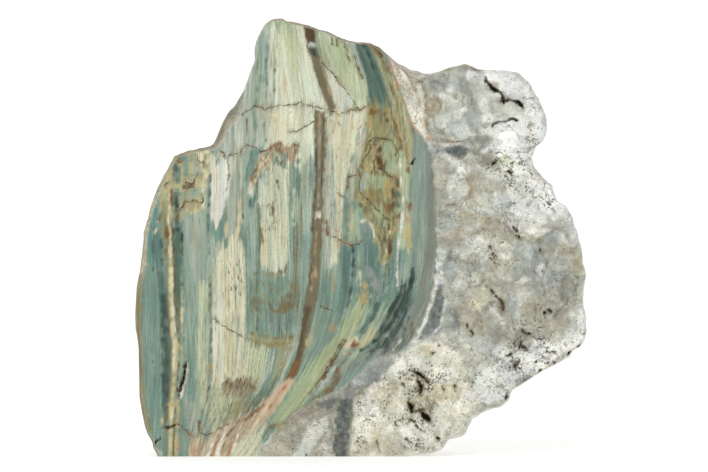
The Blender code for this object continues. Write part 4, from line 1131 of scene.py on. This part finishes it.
# CRACKS
# Hair cracks, dark with bog iron; each point's third number widens them.
CRACKS = (
    ((239.6, 115), (248, 110), (253.7, 106), (260, 107), (263.5, 111), (268, 108), (276, 105.4),
     (293.7, 104.7), (298.6, 102.3), (305, 104.4), (311, 106, 0.3), (322, 109), (331, 111), (338, 114.7),
     (344.6, 112.6), (349.5, 109), (358, 111), (364, 106.3)),
    ((311, 104), (310.5, 112), (314, 120), (312.6, 122), (300.7, 128), (294, 132), (288, 131.7)),
    ((321.4, 62.8), (337.5, 81), (348, 96), (358, 111)),
    ((218, 150), (226, 155.6), (238, 154), (241, 148), (246, 145), (255, 148), (259, 152), (265.6, 150),
     (272, 145.8)),
    ((222.8, 157), (227, 163), (227.7, 175), (225, 190.7)), ((212, 318), (227, 329), (240, 336)),
    ((320.3, 307), (331, 310.5)), ((285, 263.5, 0.4), (284, 272.6, 0.2)), ((293, 143, 0.2), (293, 153)),
    ((367, 143), (372, 138), (381, 138), (390, 140), (396, 150), (398, 159), (396, 163)),
    ((374, 141), (363.5, 158), (357, 169), (359, 177.5)), ((346.7, 176), (355, 176)),
    ((346.5, 175), (346, 190)), ((337, 193), (344.6, 199)),
    ((363.5, 197), (372.6, 205.6), (380, 213), (387, 220)), ((376, 168), (381, 170), (391, 178)),
    ((332.6, 237), (338, 240), (344, 243), (350, 246), (358, 244), (361, 240)),
    ((342, 339), (331, 358), (320, 378)), ((344, 341), (334, 359), (323, 377)),
    ((330, 362), (317, 382), (308, 394.5)), ((173, 290, 0.3), (173, 305)),
    ((176, 422), (184, 430), (192.7, 438)), ((201, 433), (206, 436), (210, 433)),
    ((219, 428), (226, 424.5)), ((337, 36), (339, 41)), ((342, 38), (344, 47)),
    ((346, 49, 0.2), (348, 60)), ((352.5, 55, 0.2), (361, 79)),
    ((182.4, 188), (184, 182.6, 0.4), (191, 184, 0.4), (197, 173.5)), ((184, 188.4), (192, 187)),
    ((195, 156), (197, 161), (201, 163, 0.3), (203.6, 158, 0.3), (203, 165)),
    ((176, 217), (177, 211, 0.4), (182, 207, 0.3), (183, 201, 0.5), (190, 202, 0.4), (194, 200, 0.5),
     (198, 203, 0.4), (201, 203, 0.3), (202, 196, 0.5), (201.4, 193)),
    ((163, 186), (165, 183.6, 0.4), (167.6, 183)), ((170, 161), (174, 160, 0.6), (179, 162)),
    ((437, 141), (452, 142.5), (468, 139)), ((149.5, 440), (147, 448)),
)
FAR = 9.0                       # pixels from a crack at which nothing of it shows
crack_side = np.full(point_count, FAR)          # its sign tells the side; wide cracks have it less
crack_distance = np.full(point_count, FAR)
crooked_x = spot_x + 0.9 * lumpy(150, 3.4, 3.4)
crooked_y = spot_y + 0.9 * lumpy(151, 3.4, 3.4)
for marks in CRACKS:
    for run, over, down, wide in stretches(marks, crooked_x, crooked_y):
        away = np.hypot(over, down)
        closer = away < crack_distance
        turn = np.sign(run[0] * down - run[1] * over)
        crack_side = np.where(closer, away * turn / (1.0 + wide), crack_side)
        crack_distance = np.where(closer, away, crack_distance)

# HOLLOWS
# Places that the silica never filled, and cracks that stand open: brown stain at the rim, and painted
# shade, nearly black, inside.
# Each is given by its half width and points, a point's third number adding to the width.
OPEN_CRACKS = (
    # The knob's two cracks and its small dark bits.
    (1.3, ((484, 77, -0.6), (484, 81), (489, 86, 0.4), (493, 90, 0.9), (498, 92), (501, 94, 0.2),
     (501.5, 99, 1.2), (503, 102, 0.7), (507, 99.5), (512, 101), (516, 101.4, 0.3), (519, 104, 1.2),
     (522.6, 108.4, -0.5))),
    (1.0, ((490.7, 126, -0.4), (494, 123), (502.6, 122, -0.2), (508, 119.5, 0.3), (512.4, 119, 0.6),
     (517, 120, -0.3))),
    (0.6, ((500, 131), (502, 131.5))), (0.5, ((507, 126.5), (508, 126))), (0.5, ((523, 98), (524, 98))),
    # The long black split of the left lobe and the cross splits at its foot.
    (1.5, ((185, 357, -1), (184, 366), (182.5, 376, 0.3), (180, 386), (177, 398, -0.8))),
    (0.9, ((160.5, 429, -0.4), (166, 427.5), (172, 425.5, 0.2), (174, 425, -0.4))),
    (1.1, ((149.5, 447), (154, 442), (159, 437.5, -0.6))),
    # Pits of the broad grey side.
    (1.0, ((489, 289), (495, 297), (501, 302, 0.6), (502, 308))),
    (1.0, ((491, 164.5, -0.4), (494, 162, 0.2), (497, 161, -0.4))), (1.0, ((507, 171), (510, 173, 0.4))),
    (0.9, ((498, 175), (498.6, 176))), (0.9, ((528, 171), (532, 173))),
    (1.1, ((512, 227.5, -0.4), (515, 229), (517, 231.6, -0.4))), (0.8, ((516, 235), (518, 239))),
    (0.8, ((487, 245.5), (490, 249, -0.3))), (0.9, ((491.5, 254), (494.5, 259, -0.5))),
    (0.9, ((546, 202), (549, 204))), (0.9, ((539, 250), (539.5, 250.5))), (0.8, ((541, 271), (542, 272))),
    (1.7, ((543.5, 312.5), (544.5, 312.8, -0.5))), (1.1, ((548, 310), (550, 313))),
    (1.2, ((521, 330.5), (524, 333, -0.2), (528, 334.5))), (0.8, ((519, 341), (518.4, 349))),
    (1.1, ((521, 346, -0.4), (524, 349, 0.3), (526, 351, -0.4))),
    (1.1, ((504, 356), (508, 356), (510.5, 352.5, -0.4))),
    (0.9, ((511, 361, -0.3), (514, 366, 0.7), (518.5, 359))),
    (1.3, ((545.5, 352), (549, 352.6, -0.4), (555, 352.4, -0.5))), (0.9, ((545, 347.5), (547, 347.5))),
    (0.9, ((534, 362), (536, 361))), (0.8, ((544, 363), (546, 363))), (0.8, ((552, 362), (554, 363))),
    (1.5, ((568, 354, 0.4), (573, 351), (577, 348, 0.3), (580, 345))), (1.4, ((536, 374), (541, 370.5))),
    (1.2, ((524, 381.5), (530, 378))), (1.4, ((505, 398), (508, 396))),
    # The cavities of the rind.
    (2.4, ((413, 372, -1.2), (419, 375), (423, 378, -0.6))),
    (2.2, ((416, 380, -1), (420, 386), (419, 393, -0.9))), (1.4, ((425, 380.5), (428, 382))),
    (2.7, ((407, 403, -0.8), (410, 407), (411, 411, -0.9))),
    (3.4, ((421.5, 413, -1.2), (424, 417, 0.3), (428, 420, -1.2))), (1.6, ((408, 419), (413, 422, -0.3))),
    (0.9, ((414, 425), (419, 429.5), (424.5, 432))), (0.8, ((412, 412), (418, 411), (424, 409))),
    (2.3, ((436.5, 438, -0.2), (437.2, 438.6))), (1.4, ((421, 452.5), (424.5, 454.5))),
    (0.7, ((396, 421), (393, 423), (394, 426), (397, 426))), (0.7, ((404, 438), (409, 443))),
    (0.7, ((416, 446), (419, 448))), (0.6, ((375, 440), (377, 446), (379, 452))),
    (0.9, ((401, 384), (403, 386))), (0.8, ((430, 353), (434, 353))), (0.8, ((437, 345), (438, 345.4))),
    (0.8, ((452, 386), (454, 387))), (0.8, ((462, 380), (463, 381))), (0.9, ((441, 388), (443, 391))),
    (0.9, ((466, 324), (466.6, 327))), (0.8, ((470.5, 331), (471.2, 334))),
    # Small ones in the wood.
    (0.9, ((386, 119), (386.6, 123))), (1.0, ((411, 163), (414, 160))), (0.8, ((337.5, 123), (338, 124))),
)
OUTSIDE = -4.0                  # pixels within a hollow: less than 0 is outside it
HOLLOW_DEPTH = 3.0              # how deep the widest go
STEEPNESS = 1.4                 # pixels within the rim at which two thirds of that is reached
hollow = np.full(point_count, OUTSIDE)
jagged_x = spot_x + 1.1 * lumpy(160, 2.6, 2.6)
jagged_y = spot_y + 1.1 * lumpy(161, 2.6, 2.6)
for half_width, marks in OPEN_CRACKS:
    near, width = reach_of(marks, jagged_x, jagged_y)
    hollow = np.maximum(hollow, half_width + width - near + 0.35 * ragged)
hollow = np.where(on_face > 0.0, hollow, OUTSIDE)
inner = np.zeros((UP + 1, ACROSS + 1))
inner[1:-1, 1:-1] = 1.0
sunk = HOLLOW_DEPTH * (1.0 - np.exp(-np.maximum(hollow[:face_count], 0.0) / STEEPNESS))
points[:face_count, 1] += sunk * inner.ravel()

# THE NATURAL SKIN
# Behind the polish the wood weathered to tan and brown splinters, and the grey stone to knobby
# chalk. The colours of the face carry on through the stone and show faintly.
on_skin = 1.0 - on_face
wood_skin = on_skin * (1.0 - stone_mask)
stone_skin = on_skin * stone_mask
stain(0.80 * wood_skin, "tan", "olive", 0.8)
stain(0.80 * stone_skin, "dirty rind", "rind", 0.8)
for seed, (colour, where, strength, cell, few) in enumerate((
        ("butter", wood_skin, 0.7, (9.0, 60.0, 26.0), 0.15),
        ("brown olive", wood_skin, 0.8, (7.0, 46.0, 22.0), 0.20),
        ("teal", wood_skin, 0.6, (16.0, 90.0, 30.0), 0.25),
        ("rust", wood_skin, 0.6, (8.0, 30.0, 20.0), 0.45),
        ("dark taupe", wood_skin, 0.7, (5.0, 34.0, 16.0), 0.45),
        ("cream", wood_skin, 0.5, (12.0, 40.0, 30.0), 0.40),
        ("chalk", stone_skin, 0.8, (17.0, 17.0, 17.0), 0.10),
        ("white", stone_skin, 0.8, (9.0, 9.0, 9.0), 0.30),
        ("warm grey", stone_skin, 0.7, (14.0, 14.0, 14.0), 0.30),
        ("tan", stone_skin, 0.5, (20.0, 20.0, 20.0), 0.35),
        ("cool grey", stone_skin, 0.6, (11.0, 11.0, 11.0), 0.45))):
    patchy = wave(grain, spot_y, deep, cell, 170 + seed) + 0.15 * ragged
    stain(strength * where * soft(patchy - few, 0.5), colour)
# The rim beside the polish, seen from in front: how far back it reaches, colour, corners.
RIM = (
    (7.0, "cream", ((120, 150), (164, 140), (164, 262), (120, 285))),
    (7.0, "moss", ((120, 285), (164, 262), (164, 470), (120, 470))),
    (5.0, "straw", ((160, 140), (222, 140), (222, 165), (160, 165))),
    (14.0, "mist", ((204, 40), (262, 10), (262, 152), (204, 158))),
    (5.0, "salmon", ((262, 8), (368, 8), (368, 60), (262, 40))),
    (6.0, "orange", ((366, 34), (412, 50), (412, 90), (366, 66))),
    (6.0, "dull stone", ((430, 40), (480, 40), (480, 90), (430, 90))),
    # The right rim is partly the chalky skin's own white and partly painted light, lightening the side
    # turned away from the lamp.
    (16.0, "white stone", ((484, 30), (640, 30), (640, 480), (340, 480), (412, 300), (484, 200))),
)
for reach, colour, marks in RIM:
    edge = on_skin * np.exp(-deep * PIXEL / reach)
    stain(0.8 * edge * patch(marks, blur=6.0, rough=3.0), colour)
pores = np.where(on_face > 0.0, pores, 0.35 * stone_skin + 0.12)
dashes = dashes + 0.8 * wood_skin

# THE FINISHED PIECE
# The shape and everything worked out for its points go into one mesh.
SHARP_EDGE = 48.0               # degrees between two faces above which the edge stays crisp
points[:, 0] += cad_box[0][0] / MM - points[:, 0].min()
points[:, 1] += cad_box[0][1] / MM
stone_mesh = bpy.data.meshes.new("petrified_bog_wood_stone")
squares, threes = np.concatenate(faces_square), np.concatenate(faces_three)
corners = np.concatenate((squares.ravel(), threes.ravel()))
starts = np.concatenate((np.arange(len(squares)) * 4,
                         len(squares) * 4 + np.arange(len(threes)) * 3))
stone_mesh.vertices.add(len(points))
stone_mesh.loops.add(len(corners))
stone_mesh.polygons.add(len(starts))
stone_mesh.vertices.foreach_set("co", (points * MM).ravel())
stone_mesh.loops.foreach_set("vertex_index", corners)
stone_mesh.polygons.foreach_set("loop_start", starts)
stone_mesh.update(calc_edges=True)
stone_mesh.validate()
stone_mesh.polygons.foreach_set("use_smooth", np.ones(len(starts), bool))
stone_mesh.set_sharp_from_angle(angle=math.radians(SHARP_EDGE))

# What the mesh keeps for every point: name, kind, values.
FIELDS = {"FLOAT": (1, "value"), "FLOAT_VECTOR": (3, "vector"), "FLOAT_COLOR": (4, "color")}
for name, kind, values in (
        ("ground", "FLOAT_COLOR", ground), ("streak", "FLOAT_COLOR", streak),
        ("streaks", "FLOAT", streaks),
        ("grain", "FLOAT_VECTOR", np.stack((grain + deep, spot_y, deep), axis=-1)),
        ("is_face", "FLOAT", on_face), ("is_stone", "FLOAT", stone_mask),
        ("is_rind", "FLOAT", rind_mask), ("dashes", "FLOAT", dashes), ("pores", "FLOAT", pores),
        ("crack_side", "FLOAT", np.where(on_face > 0.0, crack_side, FAR)),
        ("crack_distance", "FLOAT", np.where(on_face > 0.0, crack_distance, FAR)),
        ("hollow", "FLOAT", hollow)):
    width, field = FIELDS[kind]
    whole = np.ones((point_count, width), np.float32)
    whole[:, :np.size(values) // point_count] = np.reshape(values, (point_count, -1))
    stone_mesh.attributes.new(name, kind, "POINT").data.foreach_set(field, whole.ravel())


def placed(name, data):
    """Put data into the scene as an object of this name at the origin."""
    made = bpy.data.objects.new(name, data)
    bpy.context.scene.collection.objects.link(made)
    return made


stone = placed("petrified_bog_wood_stone", stone_mesh)

# Its map: the sawn face fills a square of it, the skin is rolled out in a strip below.
FACE_SHARE, STRIP_SHARE = 0.78, 0.20    # of the map's height
MARGIN = 0.006                  # kept free round the face's square
travel_of = np.concatenate(travel_of + [np.ones(1)])
share_of = np.concatenate(share_of + [np.zeros(1)])
share_of[rim] = rim_share
rolled = np.concatenate((np.zeros(len(faces_square[0]), bool),
                         np.ones(len(squares) - len(faces_square[0]), bool)))
rolled = np.concatenate((np.repeat(rolled, 4), np.ones(threes.size, bool)))
spread = (points[:, ::2] - points[:, ::2].min(axis=0)) / np.ptp(points[:, ::2], axis=0)
spread = np.array((MARGIN, 1.0 - MARGIN - FACE_SHARE)) + FACE_SHARE * spread
# A face that crosses the seam of the strip stays whole beside it, and so do those at the pole.
first = np.repeat(starts, np.concatenate((np.full(len(squares), 4), np.full(len(threes), 3))))
round_share = share_of[corners]
round_share = round_share - np.round(round_share - round_share[first])
round_share = np.where(corners == pole, round_share[first], round_share)
strip = np.stack((0.02 + 0.96 * round_share, 0.004 + STRIP_SHARE * travel_of[corners]), axis=-1)
map_places = np.where(rolled[:, None], strip, spread[corners])
stone_map = stone_mesh.uv_layers.new(name="OFBake")
stone_map.uv.foreach_set("vector", map_places.astype(np.float32).ravel())

# THE LOOK OF THE STONE
# Glassy polish over coloured silica in front, dull weathered skin behind.
SEAM_BROWN = (0.15, 0.13, 0.09, 1.0)
DASH_BROWN = (0.12, 0.08, 0.045, 1.0)
DIRT = (0.22, 0.19, 0.11, 1.0)
CRUMB_GREY = (0.17, 0.17, 0.14, 1.0)
PORE_DARK = (0.035, 0.028, 0.018, 1.0)
CRACK_STAIN = (0.26, 0.17, 0.085, 1.0)
CRACK_DARK = (0.055, 0.038, 0.02, 1.0)
HOLLOW_RIM = (0.14, 0.11, 0.06, 1.0)
# Painted shade that darkens the inside of the hollows.
HOLLOW_PAINTED_SHADE = (0.012, 0.010, 0.007, 1.0)
look = bpy.data.materials.new("petrified_wood")
look.use_nodes = True
tree = look.node_tree
surface = tree.nodes["Principled BSDF"]


class Wire:
    """One output of a node; sums, products and the like on it add the nodes for them."""

    def __init__(self, socket):
        self.socket = socket

    @staticmethod
    def node(kind, values, settings=None, out=0):
        """Add a node: its settings first, then numbers or wires for its named inputs."""
        made = tree.nodes.new(kind)
        for name, setting in (settings or {}).items():
            setattr(made, name, setting)
        for name, value in values.items():
            if isinstance(value, Wire):
                tree.links.new(value.socket, made.inputs[name])
            else:
                made.inputs[name].default_value = value
        return Wire(made.outputs[out])

    def reckoned(self, other, operation, swapped=False):
        """A Math node on this wire and another wire or number."""
        first, second = (other, self) if swapped else (self, other)
        return Wire.node("ShaderNodeMath", {0: first, 1: second}, {"operation": operation})

    def __add__(self, other):
        return self.reckoned(other, "ADD")

    __radd__ = __add__

    def __sub__(self, other):
        return self.reckoned(other, "SUBTRACT")

    def __rsub__(self, other):
        return self.reckoned(other, "SUBTRACT", swapped=True)

    def __mul__(self, other):
        return self.reckoned(other, "MULTIPLY")

    __rmul__ = __mul__

    def __abs__(self):
        return Wire.node("ShaderNodeMath", {0: self}, {"operation": "ABSOLUTE"})

    def between(self, low, high):
        """0 up to the low value and 1 from the high one, easing between them."""
        return Wire.node("ShaderNodeMapRange", {"Value": self, "From Min": low, "From Max": high},
                         {"interpolation_type": "SMOOTHSTEP"})


def kept(name, out="Fac"):
    """What the mesh keeps for its points under a name."""
    return Wire.node("ShaderNodeAttribute", {}, {"attribute_name": name}, out)


def mixed(share, first, second):
    """The first colour where the share is 0, the second where it is 1."""
    return Wire.node("ShaderNodeMix", {0: share, 6: first, 7: second}, {"data_type": "RGBA"}, 2)


def stretched(vector, size):
    """A place with each of its three numbers multiplied."""
    return Wire.node("ShaderNodeVectorMath", {0: vector, 1: size}, {"operation": "MULTIPLY"})


def speckle(place, scale, detail=2.0, rough=0.5):
    """Smooth random values round one half."""
    return Wire.node("ShaderNodeTexNoise", {"Vector": place, "Scale": scale, "Detail": detail,
                                            "Roughness": rough})


def bits(scale):
    """Bits of the grey stone that fit together: a random value for each of them."""
    value = Wire.node("ShaderNodeTexVoronoi", {"Vector": bent, "Scale": scale},
                      {"feature": "F1"}, "Color")
    return Wire.node("ShaderNodeSeparateColor", {0: value})


def seams(scale):
    """1 on the seams between those bits."""
    off = Wire.node("ShaderNodeTexVoronoi", {"Vector": bent, "Scale": scale},
                    {"feature": "DISTANCE_TO_EDGE"}, "Distance")
    return 1 - off.between(0.0, 0.07)


grain_place = kept("grain", "Vector")
place = Wire.node("ShaderNodeTexCoord", {}, out="Object")
in_stone = kept("is_stone")
in_rind = kept("is_rind")
in_wood = 1 - in_stone
polished = kept("is_face")

# Fibres: the finest make light and dark lines, broader ones carry the second colour.
thread = speckle(stretched(grain_place, (1.2, 0.020, 1.0)), 1.0, 2.0, 0.75)
bundle = speckle(stretched(grain_place, (0.34, 0.008, 0.3)), 1.0, 3.0, 0.65)
cloudy = speckle(stretched(grain_place, (0.10, 0.022, 0.1)), 1.0, 3.0, 0.6)
tint = speckle(stretched(grain_place, (0.19, 0.011, 0.2)), 1.3, 3.0, 0.6)
mottle = speckle(place, 420.0, 4.0, 0.62)
grit = speckle(place, 1500.0, 2.0, 0.6)
wood_show = (bundle * 0.65 + thread * 0.35).between(0.44, 0.60)
stone_show = mottle.between(0.42, 0.62)
show = (wood_show * in_wood * 0.5 + stone_show * in_stone * 0.7) * kept("streaks")
colour = mixed(show, kept("ground", "Color"), kept("streak", "Color"))

# The grey stone is broken: lobes and small bits of it, each a little lighter or duller, fitted
# together with thin seams. Their places are bent so that no edge is straight.
bend = Wire.node("ShaderNodeTexNoise", {"Vector": place, "Scale": 170.0, "Detail": 3.0}, out=1)
bent = Wire.node("ShaderNodeVectorMath", {0: stretched(bend, (0.011, 0.011, 0.011)), 1: place},
                 {"operation": "ADD"})
LOBES, BITS, CRUMBS = 95.0, 300.0, 760.0        # how many to a metre
lobe_tone, bit_tone, crumb_tone = bits(LOBES), bits(BITS), bits(CRUMBS)

# Light and dark, warm and cool: threads and clouds in the wood, lobes and grit in the grey stone.
wood_tone = 1 + (thread - 0.5) * (2 - polished) + (cloudy - 0.5) * 0.7 + (grit - 0.5) * 0.5
stone_tone = (1 + (mottle - 0.5) * 0.6 + (grit - 0.5) * 0.7 + (lobe_tone - 0.5) * 0.30
              + (bit_tone - 0.5) * 0.22)
tone = wood_tone * in_wood + stone_tone * in_stone
warm = (tint - 0.5) * in_wood * 0.8 + (bit_tone - 0.5) * in_stone * 0.10
tone = Wire.node("ShaderNodeCombineXYZ", {0: tone + warm * 0.55, 1: tone + warm * 0.08,
                                          2: tone - warm * 0.55})
colour = Wire.node("ShaderNodeVectorMath", {0: colour, 1: tone}, {"operation": "MULTIPLY"})

# Thin dark veins where a smooth noise passes its middle, and the seams of lobes and bits.
pores_here = kept("pores")
vein = 1 - abs(speckle(bent, 105.0, 3.0, 0.55) - 0.5).between(0.0, 0.013)
seam = (vein * grit.between(0.38, 0.52) * 0.62 + mottle.between(0.46, 0.62) * seams(LOBES) * 0.50
        + grit.between(0.45, 0.6) * seams(BITS) * 0.20) * (pores_here * 1.6 + 0.5)
colour = mixed(seam * in_stone * (1 - in_rind * 0.6), colour, SEAM_BROWN)

# Dark dashes along the fibres, and dark pores in the rind and the weathered stone.
dash_noise = speckle(stretched(grain_place, (1.0, 0.12, 1.0)), 1.0, 1.0, 0.5)
dashes_here = kept("dashes")
dash = (dash_noise + dashes_here * 0.22).between(0.78, 0.86)
hair_noise = speckle(stretched(grain_place, (1.5, 0.035, 1.0)), 1.0, 2.0, 0.6)
hair = (hair_noise + dashes_here * 0.05 + (tint - 0.5) * 0.35).between(0.60, 0.70)
colour = mixed((dash * 0.75 + hair * 0.42) * in_wood, colour, DASH_BROWN)
pore_noise = speckle(place, 1150.0, 2.0, 0.65)
pore_group = speckle(place, 230.0, 2.0, 0.6)
pore_field = pore_noise + (pore_group - 0.5) * 0.55 + pores_here * 0.14
dirt = pore_field.between(0.56, 0.74) * in_stone
colour = mixed(dirt * 0.26, colour, DIRT)
crumb = crumb_tone.between(0.88, 0.92) * (pore_group + pores_here * 0.12).between(0.50, 0.60)
colour = mixed(crumb * in_stone * polished * 0.55, colour, CRUMB_GREY)
pore = pore_field.between(0.73, 0.80) * in_stone
colour = mixed(pore * 0.85, colour, PORE_DARK)

# Cracks: a dark thread in a brown stain, both measured in pixels off the crack's middle.
off_crack = kept("crack_distance")
halo = (1 - off_crack.between(0.2, 4.5)) * (pore_group + mottle - 0.5).between(0.42, 0.62)
colour = mixed(halo * 0.55, colour, CRACK_STAIN)
waver = speckle(place, 1100.0, 2.0, 0.6)
beside = abs(kept("crack_side") + (waver - 0.5) * 3.2)
crack = ((1 - beside.between(0.15, 0.90)) * (1 - off_crack.between(1.6, 2.4))
         * (0.30 + mottle.between(0.36, 0.56) * 0.70))
colour = mixed(crack * 0.9, colour, CRACK_DARK)
# Hollows: brown stain from just outside the rim, and painted shade, nearly black, within it.
depth_in = kept("hollow") + (waver - 0.5) * 2.6 + (mottle - 0.5) * 1.6
colour = mixed(depth_in.between(-1.6, 0.6) * 0.62, colour, HOLLOW_RIM)
colour = mixed(depth_in.between(0.3, 1.3) * 0.94, colour, HOLLOW_PAINTED_SHADE)
tree.links.new(colour.socket, surface.inputs["Base Color"])
# The polish is dull on the rind and in the pores, and there is none on the natural skin.
dullness = 0.24 + in_rind * 0.30 + pore * 0.3 + (1 - polished) * 0.5
tree.links.new(dullness.socket, surface.inputs["Roughness"])
surface.inputs["Specular IOR Level"].default_value = 0.3
raw = (1 - polished) + in_rind * polished * 0.35
height = ((mottle + grit * 0.5) + (thread + bundle * 2) * in_wood) * raw - pore * 0.8
bumps = Wire.node("ShaderNodeBump", {"Height": height, "Strength": 0.6, "Distance": 0.0006})
tree.links.new(bumps.socket, surface.inputs["Normal"])
stone_mesh.materials.append(look)

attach(stone, "root")
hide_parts("petrified_bog_wood")

# THE STAGE
# A white paper sheet under the stone that curves up behind it, lit through from below.
SIDEWAYS, FORWARD, BACKWARD, CURVE, TALL = 3.0, 3.0, 1.2, 0.5, 3.0      # metres
turn = np.linspace(0.0, math.pi / 2.0, 13)
run_y = np.concatenate(([-FORWARD], BACKWARD + CURVE * np.sin(turn), [BACKWARD + CURVE]))
run_z = np.concatenate(([0.0], CURVE - CURVE * np.cos(turn), [TALL]))
sheet_points = [(x, y, z) for y, z in zip(run_y, run_z) for x in (-SIDEWAYS, SIDEWAYS)]
sheet_faces = [(2 * n, 2 * n + 1, 2 * n + 3, 2 * n + 2) for n in range(len(run_y) - 1)]
floor_mesh = bpy.data.meshes.new("floor")
floor_mesh.from_pydata(sheet_points, [], sheet_faces)
floor = placed("floor", floor_mesh)
paper = bpy.data.materials.new("white_paper")
paper.use_nodes = True
paper_surface = paper.node_tree.nodes["Principled BSDF"]
for name, value in (("Base Color", (0.85, 0.85, 0.85, 1.0)), ("Roughness", 0.9),
                    ("Emission Color", (1.0, 1.0, 1.0, 1.0)), ("Emission Strength", 0.35)):
    paper_surface.inputs[name].default_value = value
floor_mesh.materials.append(paper)

# THE CAMERA
# Level with the middle of the stone and square to its face, with a long lens.
DISTANCE = 1.15                 # metres in front of the face
FILM = 36.0                     # width of the film in millimetres
PICTURE = (708, 472)            # pixels of the picture
camera = placed("camera", bpy.data.cameras.new("camera"))
camera.data.sensor_width = FILM
camera.data.lens = FILM * DISTANCE / (PICTURE[0] * PIXEL * MM)
camera.location = ((PICTURE[0] / 2 - MIDDLE_COLUMN) * PIXEL * MM, cad_box[0][1] - DISTANCE,
                   (BASE_ROW - PICTURE[1] / 2) * PIXEL * MM)
camera.rotation_euler = (math.radians(90.0), 0.0, 0.0)
bpy.context.scene.camera = camera

# THE LIGHT
# White all round, and one large soft lamp above, to the left and in front.
world = bpy.data.worlds.new("white_room")
world.use_nodes = True
world.node_tree.nodes["Background"].inputs["Color"].default_value = (1.0, 1.0, 1.0, 1.0)
world.node_tree.nodes["Background"].inputs["Strength"].default_value = 0.66
bpy.context.scene.world = world
lamp = bpy.data.lights.new("soft_lamp", "AREA")
lamp.shape = "SQUARE"
lamp.size = 1.2
lamp.energy = 8.0
lamp_object = placed("soft_lamp", lamp)
lamp_object.location = (-0.7, -0.9, 1.3)
lamp_object.rotation_euler = (math.radians(42.0), 0.0, math.radians(-38.0))
bpy.context.scene.view_settings.view_transform = "Standard"
